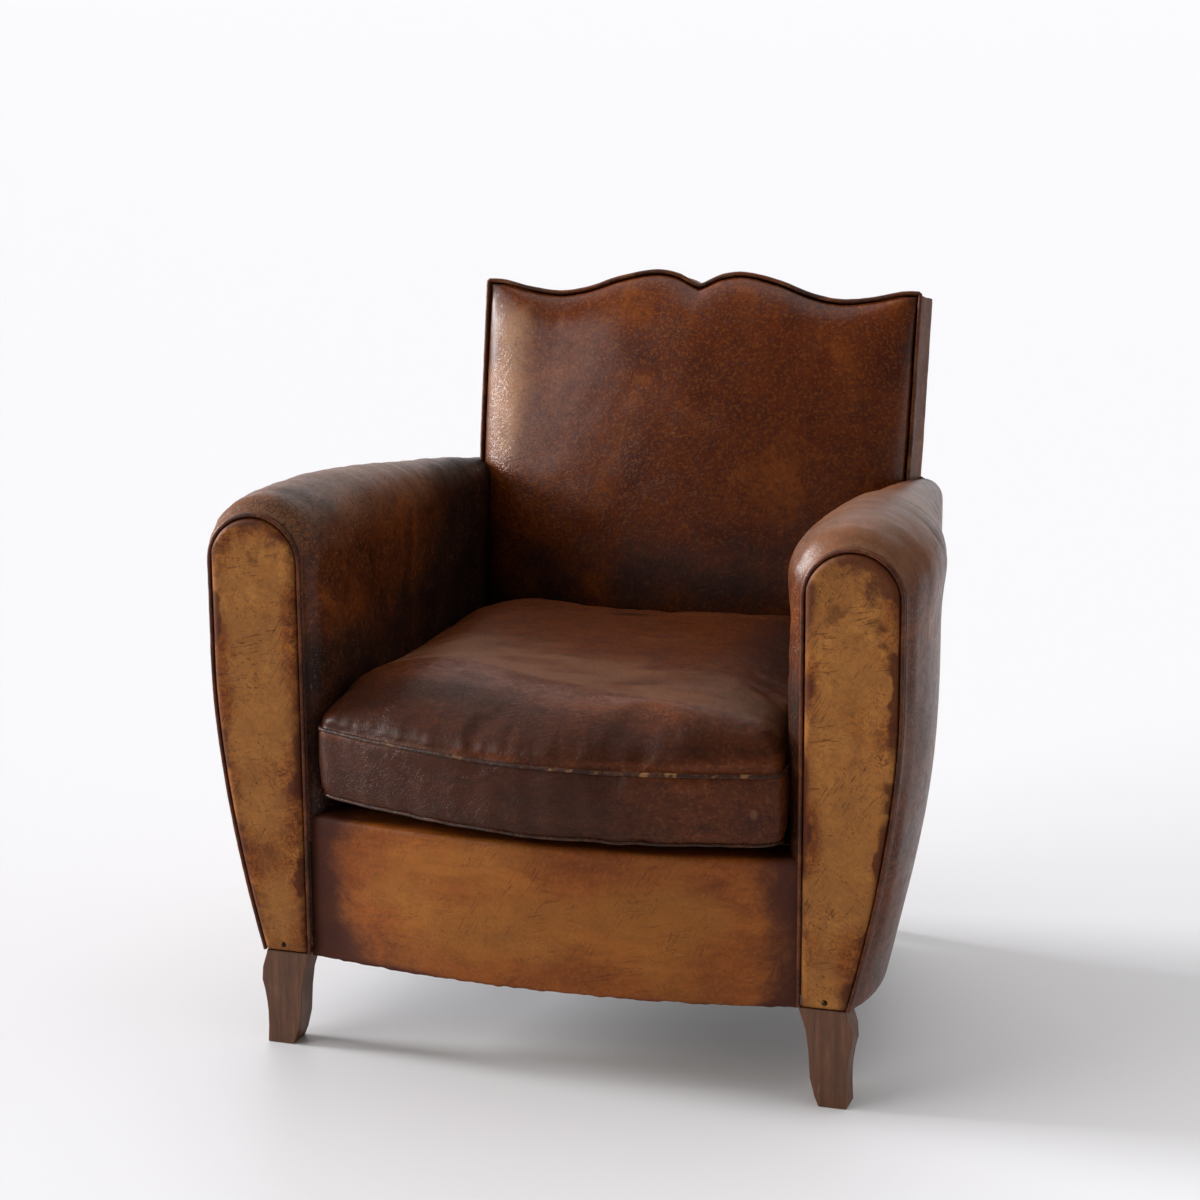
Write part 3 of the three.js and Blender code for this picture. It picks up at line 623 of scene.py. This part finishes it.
# ---- piping ----
def cordMesh(points, radius, closed=False, lumps=0.12, seed=0.0):
    # a leather-covered cord: a round bevel along the points, then made a mesh and roughened a little
    data = bpy.data.curves.new("piping line", "CURVE")
    data.dimensions = "3D"
    data.bevel_depth = radius
    data.bevel_resolution = 2
    data.use_fill_caps = True
    spline = data.splines.new("POLY")
    spline.points.add(len(points) - 1)
    for point, p in zip(spline.points, points):
        point.co = (*p, 1.0)
    spline.use_cyclic_u = closed
    obj = bpy.data.objects.new("piping line", data)
    bm = bmesh.new()
    bm.from_mesh(obj.to_mesh())
    obj.to_mesh_clear()
    bpy.data.objects.remove(obj)
    bpy.data.curves.remove(data)
    bmesh.ops.recalc_face_normals(bm, faces=bm.faces[:])
    pushOut(bm, lambda p, n: radius * lumps * (cloud(p, 11, seed) + 0.5 * cloud(p, 4, seed)))
    return bm


def evenly(points, step, closed=False):
    # the same line with its points a set step apart
    line = [Vector(p) for p in points] + ([Vector(points[0])] if closed else [])
    lengths = [(b - a).length for a, b in zip(line, line[1:])]
    total = sum(lengths)
    count = max(8, round(total / step))
    out = []
    i = 0
    done = 0.0
    for k in range(count + (0 if closed else 1)):
        want = total * k / count
        while i < len(lengths) - 1 and done + lengths[i] < want:
            done += lengths[i]
            i += 1
        out.append(line[i].lerp(line[i + 1], clamp((want - done) / max(lengths[i], 1e-6))))
    return out


def pipingPaint(bm, worn, seed, where=lambda p: 1.0):
    # rubbed through in short runs
    paint(bm, wear=lambda p: worn * smooth(cloud(p, 21, seed) + 0.8 * cloud(p, 6, seed), 0.1, 0.5) * where(p),
          grime=lambda p: 0.25 + 0.3 * cloud(p, 40, seed + 5), cracked=lambda p: 0.6)


# back: how far the facing's piping lies behind it; from: where the back's piping starts up the rake
piping = {"points": 160, "step": 4, "back": 4.6, "from": 448, "backRadius": chair["pipe"] + 0.3}


def facingPiping(side, name):
    points = []
    for k in range(piping["points"] + 1):
        x, z = armLine(facing["section"], k / piping["points"], 0, -chair["pipe"])
        points.append((side * x, chair["front"] + piping["back"], z))
    bm = cordMesh(evenly(points, piping["step"]), chair["pipe"], seed=side * 3)
    pipingPaint(bm, 0.25, side)
    keep(bm, "facing_piping_leather_" + name, pipingHide, ["facing_piping_" + name])


for side, name in sides:
    facingPiping(side, name)

# ---- inside back ----
insideBack = {"columns": 120, "rows": 120, "low": 150, "rim": 4.2, "roundOver": 58, "puff": 14, "crown": 44,
              "crowd": 1.35, "thick": 2.4}


def backSwell(x, s):
    # how far the stuffed back stands forward of its plane
    b = insideBack
    side = max(0.0, backHalf(s) - b["rim"] - abs(x))
    top = max(0.0, backTopAt(x) - b["rim"] - s)
    # further down, the swell forgets the notch in the top line
    evenTop = sum(backTopAt(x + 14 * d) for d in range(-5, 6)) / 11
    top += (max(0.0, evenTop - b["rim"] - s) - top) * smooth(top, 0, 48)
    q = 1 - clamp(side / b["roundOver"])
    r = 1 - clamp(top / (b["roundOver"] * 1.15))
    edge = math.sqrt(max(0.0, 1 - q ** 2.2)) * math.sqrt(max(0.0, 1 - r ** 2.2))
    up = clamp((s - 140) / (evenTop - 140))
    across = clamp((x / backHalf(s) + 1) / 2)
    crown = math.sin(math.pi * across) ** 0.6 * math.sin(math.pi * (0.06 + 0.94 * up)) ** 0.7
    return edge * (b["puff"] + b["crown"] * crown)


def insideBackCover():
    b = insideBack

    def place(u, v):
        # columns and rows crowd towards the edges, where the surface turns
        a = 2 * u - 1
        a = math.copysign(1 - (1 - abs(a)) ** b["crowd"], a)
        h = 1 - (1 - v) ** b["crowd"]
        x0 = a * chair["backHalf"]
        top = backTopAt(x0) - b["rim"]
        s = b["low"] + h * (top - b["low"])
        x = a * (backHalf(s) - b["rim"])
        return backPoint(x, 1.5 - backSwell(x, s), s)

    bm = gridOf(b["columns"], b["rows"], place)
    faceAwayFrom(bm, (0, 1000, 500))

    def relief(p, normal):
        s = (p.z - chair["backFoot"][1]) / leanCos
        top = backTopAt(p.x) - s
        near = fade(top, 45)
        # folds that hang from the valleys, and small puckers under the piping
        folds = -0.6 * near * gauss(abs(p.x), 172, 9) * smooth(top, 3, 16)
        gather = 0.6 * ripple(p.x / 17, top / 90, 3.3)
        gather *= fade(top, 24) * smooth(top, 2, 10)
        beside = backHalf(s) - abs(p.x)
        pull = 0.5 * ripple(s / 21, beside / 60, 9 + p.x / 400)
        gather += pull * fade(beside, 26) * smooth(beside, 4, 12)
        soft = 1.1 * cloud(p, 120, 6.5) + 0.25 * cloud(p, 34, 2.5)
        fine = -0.12 * crease(p, 26, 4.4, 2.4)
        rim = smooth(min(beside, top), 4, 26)
        return folds + gather + (soft + fine) * rim

    pushOut(bm, relief)

    def wear(p):
        # painted highlight: a pale streak down the left side of the back; only the faint clouds are wear
        left = gauss(p.x, -232, 40) * smooth(p.z, 500, 620) * below(p.z, 720, 800)
        return 0.5 * left + 0.1 * cloud(p, 80, 14)

    def grime(p):
        # painted shade: darker low on the back, between the arms and behind the cushion; the clouds are dirt
        low = below(p.z, 430, 560)
        side = smooth(abs(p.x), 235, 268)
        return 0.45 * low + 0.3 * side + 0.3 * cloud(p, 60, 3)

    paint(bm, wear=wear, grime=grime, cracked=lambda p: 0.3 + 0.4 * cloud(p, 60, 8) + 0.6 * gauss(p.x, -215, 45))
    piece = keep(bm, "inside_back_leather", backHide, ["inside_back_cover"], b["thick"])


insideBackCover()


def backEdge(start, steps=60):
    # the back's outline from one side over the moustache to the other, as (x, s)
    side = [start + (backCorner - start) * k / steps for k in range(steps)]
    right = [(backHalf(s), s) for s in side]
    across = [chair["backHalf"] * (1 - k / steps) for k in range(2 * steps + 1)]
    over = [(x, backTopAt(x)) for x in across]
    return right + over + [(-x, s) for x, s in reversed(right)]


def backPipings():
    line = [backPoint(x, 0, s) for x, s in backEdge(piping["from"])]
    bm = cordMesh(evenly(line, piping["step"]), piping["backRadius"], seed=8)
    pipingPaint(bm, 0.3, 4)
    keep(bm, "back_piping_leather", pipingHide, ["back_piping"])


backPipings()

# ---- back boxing and outside back ----
band = {"across": 14, "from": 425, "thick": 2.2, "step": 5, "start": 3.4, "sag": 2.2}


def backBand():
    outline = evenly([(x, s, 0) for x, s in backEdge(band["from"])], band["step"])

    def place(u, v):
        k = u * (len(outline) - 1)
        p = outline[int(k)].lerp(outline[min(int(k) + 1, len(outline) - 1)], k - int(k))
        sag = band["sag"] * math.sin(math.pi * v) * (1 + 0.5 * cloud((p.x, p.y, 0), 60, 2))
        middle = Vector((0, backCorner * 0.6, 0))
        pull = (p - middle).normalized() * (sag * -0.6 + 0.4 * cloud((p.x, p.y, v * 60), 22, 7))
        t = band["start"] + v * (chair["backThick"] - band["start"])
        return backPoint(p.x + pull.x, t, p.y + pull.y)

    bm = gridOf(len(outline), band["across"], place)
    faceAwayFrom(bm, (0, chair["front"] + 560, 560))
    paint(bm, wear=lambda p: 0.2 + 0.2 * cloud(p, 60, 3), grime=lambda p: 0.2 + 0.2 * cloud(p, 50, 6),
          cracked=lambda p: 0.5 + 0.4 * cloud(p, 40, 8))
    keep(bm, "back_band_leather", boxingHide, ["back_band"], band["thick"])


backBand()

outsideBack = {"columns": 80, "rows": 110, "round": 5, "proud": 2.2, "thick": 2.0}


def outsideHalf(s):
    # half width of the outside back: the arms' rear edges below, the back's own sides above
    p = backPoint(0, chair["backThick"], s)
    behind = p.y - chair["front"]
    arm = armOuter(behind) - flareAt(p.z)
    roll = (s - 431) / 21
    if s < 431:
        return arm
    top = backHalf(s)
    if roll >= 1:
        return top
    return max(top, 271 + (arm - 271) * math.sqrt(max(0.0, 1 - roll * roll)))


def outsideBackCover():
    b = outsideBack

    def place(u, v):
        a = 2 * u - 1
        top = backTopAt(a * chair["backHalf"]) - 1
        s = v * top
        x = a * (outsideHalf(s) - 0.5)
        edge = min(outsideHalf(s) - abs(x), top - s, s + 4)
        drop = rounded(edge, b["round"])
        soft = (1.6 * cloud((x, 40, s), 120, 2) + 0.5 * cloud((x, 40, s), 30, 5)) * smooth(edge, 2, 30)
        return backPoint(x, chair["backThick"] + b["proud"] - drop * 0.4 + soft, s)

    bm = gridOf(b["columns"], b["rows"], place)
    faceAwayFrom(bm, (0, -1000, 500))
    paint(bm, wear=lambda p: 0.1 + 0.25 * cloud(p, 140, 3) + 0.3 * below(p.z, 110, 140),
          grime=lambda p: 0.1 + 0.2 * cloud(p, 90, 6) + 0.3 * below(p.z, 120, 260),
          cracked=lambda p: 0.4 + 0.4 * cloud(p, 60, 8))
    keep(bm, "outside_back_leather", armHide, ["outside_back_cover"], b["thick"])


outsideBackCover()
print("back made")

# ---- apron ----
apron = {"columns": 150, "rows": 44, "low": 104, "high": 265, "bow": 32, "corner": 12, "half": 274.6,
         "roll": 6, "thick": 2.2}


def bowFront(x, corner, bow):
    # y of a bowed front edge
    return chair["front"] + corner - bow * (1 - (x / 273) ** 2)


def apronCover():
    a = apron

    def place(u, v):
        x = (2 * u - 1) * a["half"]
        y = bowFront(x, a["corner"], a["bow"])
        ragged = 1.3 * ripple(x / 9, 0.5, 2) + 1.2 * ripple(x / 31, 4, 2)
        height = a["high"] - a["low"]
        if v < 0.78:
            z = a["low"] + ragged * below(v, 0, 0.08) + (v / 0.78) * (height - a["roll"])
            return x, y, z
        # over the edge roll and back under the cushion
        w = (v - 0.78) / 0.22
        turn = clamp(w * 4) * math.pi / 2
        back = max(0.0, w - 0.25) * 60
        r = a["roll"]
        return x, y + r * (1 - math.cos(turn)) + back, a["high"] - r + r * math.sin(turn)

    bm = gridOf(a["columns"], a["rows"], place)
    faceAwayFrom(bm, (0, 100, 100))

    def relief(p, normal):
        # one long crease low on the right
        long = -1.6 * gauss(p.z, 136 + 5 * ripple(p.x / 60, 1, 1), 2.2)
        long *= smooth(p.x, 10, 40) * below(p.x, 120, 150)
        soft = 1.8 * cloud(p, 70, 5) + 0.5 * cloud(p, 22, 9)
        ends = smooth(270 - abs(p.x), 0, 18)
        return (long + soft) * ends

    pushOut(bm, relief)

    def grime(p):
        end = below(270 - abs(p.x), -4, 92 if p.x < 0 else 62)
        low = below(p.z, 110, 175) * below(p.x, -190, -60)
        top = smooth(p.z, 232, 262)
        hem = below(p.z, 104, 112)
        return 0.66 * end + 0.3 * low + 0.1 * top + 0.3 * hem + 0.18 * cloud(p, 50, 3)

    def wear(p):
        middle = gauss(p.z, 185, 60) * below(abs(p.x), 150, 250)
        return 0.45 * middle + 0.35 * cloud(Vector((p.x * 0.5, p.y, p.z)), 45, 6) + 0.1

    paint(bm, wear=wear, grime=grime, cracked=lambda p: 0.35 + 0.5 * cloud(p, 50, 8))
    keep(bm, "apron_leather", apronHide, ["apron_cover"], a["thick"])


apronCover()

# ---- loose seat cushion ----
cushion = {"bow": 50, "corner": -5, "back": 463, "low": 275, "high": 362,
           "lift": 13, "voxel": 6.0, "pressure": 4.0, "cap": 6.0, "frames": 20, "shrink": 4.0,
           "seamWidth": 5.0, "seamDepth": 2.6}


def cushionTurn(p):
    # the cushion lies a little askew: its left front corner is lifted and set back
    left = clamp(-p.x / 264) * clamp((200 - (p.y - chair["front"])) / 260)
    return Vector((p.x - 3 * left, p.y + 5 * left - 3 * clamp(p.x / 264), p.z + cushion["lift"] * left ** 1.3))


def cushionEdge(steps, inset=0.0):
    # the plan outline: bowed front with eased corners, straight sides, straight back
    c = cushion
    front = []
    for k in range(41):
        x = 248 * (k / 20 - 1)
        front.append(Vector((x, bowFront(x, c["corner"], c["bow"]), 0)))
    side = [(255, -10), (260, -5), (263, 3), (264, 12), (262, 30), (257, 60), (252, 110), (250, 240), (248, 360),
            (247, 420), (243, 449), (230, 463)]
    right = [Vector((x, chair["front"] + d, 0)) for x, d in side]
    left = [Vector((-p.x, p.y, 0)) for p in reversed(right)]
    line = evenly(front + right + left, 1, True)
    line = evenly(line, sum((b - a).length for a, b in zip(line, line[1:])) / steps, True)
    middle = Vector((0, chair["front"] + 210, 0))
    return [p + (middle - p).normalized() * inset for p in line]


# the crown rises from the front seam to a ridge, which lies far back on the left and close on the right
ridgeBehind = through([(-264, 128), (-184, 136), (-105, 142), (-12, 118), (99, 80), (173, 50), (264, 30)])
crownHeight = through([(-62, 50), (60, 54), (150, 58), (290, 60), (400, 58), (463, 51)])


def behindSeam(x, y):
    return y - bowFront(x, cushion["corner"], cushion["bow"])


def crownAt(x, y):
    t = clamp(behindSeam(x, y) / ridgeBehind(x))
    side = 1 - smooth(abs(x), 150, 252) * 0.3 - smooth(abs(x), 236, 262) * 0.32
    return crownHeight(y - chair["front"]) * side * (t * (2 - t)) ** 0.85


def cushionPad():
    # rings of vertices: the boxing's foot and head, then rings that close in over the crown and under it
    c = cushion
    edge = cushionEdge(180, c["shrink"])
    middle = Vector((0, chair["front"] + 210, 0))
    low, high = c["low"], c["high"]
    rings = [(0.08, low), (0.5, low), (0.9, low), (0.982, low), (1.004, low + 16), (1.01, (low + high) / 2),
             (1.006, high - 14), (1.0, high)]
    rings += [(share, None) for share in (0.97, 0.94, 0.9, 0.85, 0.78, 0.7, 0.6, 0.5, 0.4, 0.3, 0.2, 0.08)]
    bm = bmesh.new()
    loops = []
    for share, level in rings:
        made = bmesh.ops.create_circle(bm, segments=len(edge), radius=1)["verts"]
        made = sorted(made, key=lambda v: math.atan2(v.co.y, v.co.x))
        order = sorted(edge, key=lambda p: math.atan2(p.y - middle.y, p.x))
        for v, p in zip(made, order):
            flat = middle.lerp(p, share)
            z = high + crownAt(flat.x, flat.y) if level is None else level
            v.co = Vector((flat.x, flat.y, z))
        loops.append(list({e for v in made for e in v.link_edges}))
    for first, second in zip(loops, loops[1:]):
        bmesh.ops.bridge_loops(bm, edges=first + second)
    bmesh.ops.holes_fill(bm, edges=[e for e in bm.edges if e.is_boundary], sides=0)
    bmesh.ops.recalc_face_normals(bm, faces=bm.faces[:])
    return bm


def inflate(bm, name, settings):
    # voxel remesh, then cloth with air pressure and no gravity; movement is capped afterwards
    resize(bm, mm)
    obj = objectOf(bm, name)
    remesh = obj.modifiers.new("Remesh", "REMESH")
    remesh.mode = "VOXEL"
    remesh.voxel_size = settings["voxel"] * mm
    remesh.use_smooth_shade = True
    mesh = settled(obj)
    obj.modifiers.clear()
    obj.data = mesh
    start = [v.co.copy() for v in mesh.vertices]
    cloth = obj.modifiers.new("Cloth", "CLOTH")
    cloth.settings.use_pressure = True
    cloth.settings.uniform_pressure_force = settings["pressure"]
    cloth.settings.effector_weights.gravity = 0
    cloth.settings.tension_stiffness = 25
    cloth.settings.bending_stiffness = 2.0
    cloth.point_cache.frame_start = 1
    cloth.point_cache.frame_end = settings["frames"]
    for step in range(1, settings["frames"] + 1):
        scene.frame_set(step)
    blown = settled(obj)
    obj.modifiers.clear()
    for v, a, b in zip(mesh.vertices, start, blown.vertices):
        far = b.co - a
        if far.length > settings["cap"] * mm:
            far *= settings["cap"] * mm / far.length
        v.co = a + far
    scene.frame_set(1)
    fine = obj.modifiers.new("Subdivision", "SUBSURF")
    fine.levels = fine.render_levels = 1
    mesh = settled(obj)
    bpy.data.objects.remove(obj)
    bm = bmesh.new()
    bm.from_mesh(mesh)
    resize(bm, 1 / mm)
    return bm


def seatCushion():
    c = cushion
    bm = inflate(cushionPad(), "cushion pad", c)

    def seamGap(p):
        # the seams hold the cover in to the outline
        level = min(abs(p.z - c["high"]), abs(p.z - c["low"]))
        return gauss(level, 0, c["seamWidth"])

    def relief(p, normal):
        onTop = smooth(normal.z, 0.15, 0.6)
        fromSeam = behindSeam(p.x, p.y)
        near = fade(fromSeam - 6, 42) * smooth(fromSeam, 2, 14)
        # wrinkles that run back from the front seam
        pleats = ripple(p.x / 19 + fromSeam / 130, fromSeam / 190, 1.5)
        pleats += 0.6 * ripple(p.x / 9, fromSeam / 70, 6.5)
        top = onTop * near * pleats * (2.0 - 1.2 * smooth(p.x, -60, 60))
        # broad sags over the seat
        top += onTop * (2.6 * cloud(p, 130, 3) + 0.5 * cloud(p, 48, 4) - 0.25 * crease(p, 38, 8, 2.4))
        # buckles on the boxing
        front = (1 - onTop) * smooth(-normal.y, 0.3, 0.8)
        box = front * (1.5 * ripple(p.x / 24, p.z / 60, 8.5) + 1.0 * cloud(p, 34, 6))
        return top + box - c["seamDepth"] * seamGap(p) * (1 - 0.5 * onTop)

    pushOut(bm, relief)
    seams = BVHTree.FromBMesh(bm)
    for v in bm.verts:
        v.co = cushionTurn(v.co)

    def wear(p):
        # a pale band across the seat where it turns level: partly rubbing, partly a painted sheen
        behind = p.y - chair["front"]
        line = behindSeam(p.x, p.y) - ridgeBehind(p.x) + 5 * cloud(p, 60, 2)
        rubbed = smooth(line, -8, 12) * below(line, 50, 170) * smooth(p.z, 375, 395)
        nick = gauss(p.x, 232, 3.2) * gauss(p.z, 318, 4.5) * smooth(-behind, -30, 20)
        speck = below(p.z, 290, 312) * gauss(p.x, -80, 110) * smooth(cloud(p, 5, 40), 0.35, 0.5)
        streaks = cloud(Vector((p.x * 0.35, p.y, p.z)), 16, 3)
        return rubbed * (0.52 + 0.3 * streaks) + 1.4 * nick + 0.8 * speck + 0.12 * cloud(p, 50, 9)

    def grime(p):
        behind = p.y - chair["front"]
        line = behindSeam(p.x, p.y) - ridgeBehind(p.x)
        # painted shade: the crown's front slope is darker up to the ridge
        crownFrontShade = smooth(p.z, 355, 372) * below(line, -78, 2) * 0.62
        box = below(p.z, 352, 366) * (0.68 - 0.34 * smooth(p.x, 20, 170))
        mark = 0.8 * gauss(p.x + 0.5 * (behind - 365), -18, 26) * gauss(behind, 365, 9) * smooth(p.z, 380, 400)
        rear = 0.45 * smooth(behind, 120, 300) * smooth(p.x, 100, 230)
        rightSide = 0.34 * smooth(p.x, 40, 190) * smooth(p.z, 366, 382)
        return crownFrontShade * (0.88 + 0.12 * cloud(p, 70, 1)) + box + mark + rear + rightSide + 0.06 * cloud(p, 60, 5)

    def cracked(p):
        return 0.35 + 0.6 * below(p.z, 290, 330) + 0.3 * cloud(p, 50, 8)

    paint(bm, wear=wear, grime=grime, cracked=cracked)
    piece = keep(bm, "cushion_leather", cushionHide, ["seat_cushion"])
    return seams


cushionSurface = seatCushion()


def cushionWelt(level, name, radius, worn):
    # the welt lies on the cover, wherever the filling has pushed it
    line = []
    for p in cushionEdge(500, 0.5):
        spot, normal, _, _ = cushionSurface.find_nearest(Vector((p.x, p.y, level)))
        line.append(cushionTurn(spot + normal * radius * 0.4))
    for _ in range(6):
        line = [(line[i - 1] + line[i] * 2 + line[(i + 1) % len(line)]) / 4 for i in range(len(line))]

    def inFront(p):
        return below(p.y - chair["front"], 0, 30) * (0.4 + 0.6 * smooth(p.x, -120, 0))

    bm = cordMesh(line, radius, True, lumps=0.16, seed=level / 50)
    pipingPaint(bm, worn, level, inFront)
    keep(bm, "cushion_welt_leather_" + name, weltHide, ["cushion_welt_" + name])


cushionWelt(cushion["high"], "top", 2.4, 0.75)
cushionWelt(cushion["low"], "bottom", 2.0, 0.1)
print("cushion made")

# ---- legs ----
legs = {"edge": 1.1, "bend": math.radians(28)}


def leg(name):
    # the turned-out leg with its edges rubbed round
    bm = bmesh.new()
    bm.from_mesh(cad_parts[name].data)
    resize(bm, 1 / mm)
    bmesh.ops.remove_doubles(bm, verts=bm.verts[:], dist=0.01)
    bmesh.ops.dissolve_limit(bm, angle_limit=0.02, verts=bm.verts[:], edges=bm.edges[:])
    sharp = [e for e in bm.edges if e.is_manifold and e.calc_face_angle() > legs["bend"]]
    bmesh.ops.bevel(bm, geom=sharp, offset=legs["edge"], offset_type="OFFSET", segments=3, profile=0.5,
                    affect="EDGES", material=-1)
    piece = keep(bm, name + "_wood", inside["walnut_wood"], [name])
    # wide flat faces keep their own shading beside the rounded edges
    even = piece.modifiers.new("Even shading", "WEIGHTED_NORMAL")
    even.keep_sharp = True


for name in ("front_leg_right", "front_leg_left", "rear_leg_right", "rear_leg_left"):
    leg(name)

# ---- dust cover ----
# half width and distance behind the facings, at the front and the rear
dust = {"front": (300, 93.6), "rear": (232, 533.6), "level": 105.6, "sag": 3.0, "columns": 60, "rows": 50}


def dustCover():
    # black cambric tacked under the rails all round
    def place(u, v):
        half = dust["front"][0] + v * (dust["rear"][0] - dust["front"][0])
        behind = dust["front"][1] + v * (dust["rear"][1] - dust["front"][1])
        x = (2 * u - 1) * half
        held = math.sin(math.pi * u) ** 0.5 * math.sin(math.pi * v) ** 0.5
        drop = dust["sag"] * held * 0.5 + 0.4 * cloud((x, behind, 0), 60, 3) * held
        return x, chair["front"] + behind, dust["level"] - drop

    bm = gridOf(dust["columns"], dust["rows"], place)
    faceAwayFrom(bm, (0, 0, 400))
    piece = keep(bm, "dust_cover_cloth", inside["dust_cloth"], ["dust_cover"])


dustCover()
print("legs and dust cover made")

# ---- camera, lights, floor ----
view = {"turn": 18.0, "rise": 12.915, "roll": -0.372, "far": 3209.4, "aim": (-20.2, 257.0, 466.2), "lens": 85.78}
# a big window to the left, a white ceiling, and a white wall behind; each is a wide soft sun
lamps = {
    "window": {"from": (-0.95, -0.02, 0.27), "wide": 16, "power": 4.6, "tint": (0.97, 0.98, 1.0)},
    "window glow": {"from": (-0.80, -0.55, 0.45), "wide": 44, "power": 1.3, "tint": (1.0, 0.98, 0.96)},
    "ceiling": {"from": (0.0, 0.35, 1.0), "wide": 80, "power": 1.4, "tint": (1.0, 0.99, 0.98)},
    "white wall behind": {"from": (-0.30, 0.93, 0.24), "wide": 64, "power": 0.8, "tint": (0.96, 0.97, 1.0)},
    "white wall beside": {"from": (0.95, 0.1, 0.28), "wide": 56, "power": 0.5, "tint": (1.0, 0.96, 0.9)},
}


def placeCamera():
    a, e, r = (math.radians(view[k]) for k in ("turn", "rise", "roll"))
    aim = Vector((view["aim"][0], view["aim"][1] + chair["front"], view["aim"][2])) * mm
    back = Vector((math.sin(a) * math.cos(e), -math.cos(a) * math.cos(e), math.sin(e)))
    right = (-back).cross(Vector((0, 0, 1))).normalized()
    up = right.cross(-back)
    across = right * math.cos(r) + up * math.sin(r)
    over = up * math.cos(r) - right * math.sin(r)
    data = bpy.data.cameras.new("camera")
    data.lens = view["lens"]
    data.sensor_width = 36
    camera = bpy.data.objects.new("camera", data)
    camera.matrix_world = Matrix((across, over, back)).transposed().to_4x4()
    camera.matrix_world.translation = aim + back * view["far"] * mm
    scene.collection.objects.link(camera)
    scene.camera = camera


def softLight(name, settings):
    data = bpy.data.lights.new(name, "SUN")
    data.angle = math.radians(settings["wide"])
    data.energy = settings["power"]
    data.color = settings["tint"]
    lamp = bpy.data.objects.new(name, data)
    lamp.rotation_euler = (-Vector(settings["from"])).to_track_quat("-Z", "Y").to_euler()
    scene.collection.objects.link(lamp)


placeCamera()
for name, settings in lamps.items():
    softLight(name, settings)
air = {"tint": (0.95, 0.97, 1.0, 1.0), "strength": 0.15}
world = bpy.data.worlds.new("pale room")
world.use_nodes = True
hold(world.node_tree.nodes["Background"], Color=air["tint"], Strength=air["strength"])
scene.world = world
scene.view_settings.view_transform = "Standard"

floorLook = {"size": 70, "colour": "#e2e1e3", "rough": 0.45, "specular": 0.3}
floorMaterial, _, _, floorShader = bare("white painted floor")
hold(floorShader, Base_Color=linear(floorLook["colour"]), Roughness=floorLook["rough"],
     Specular_IOR_Level=floorLook["specular"])
bm = bmesh.new()
bmesh.ops.create_grid(bm, x_segments=1, y_segments=1, size=floorLook["size"])
floor = objectOf(bm, "floor")
floor.data.materials.append(floorMaterial)
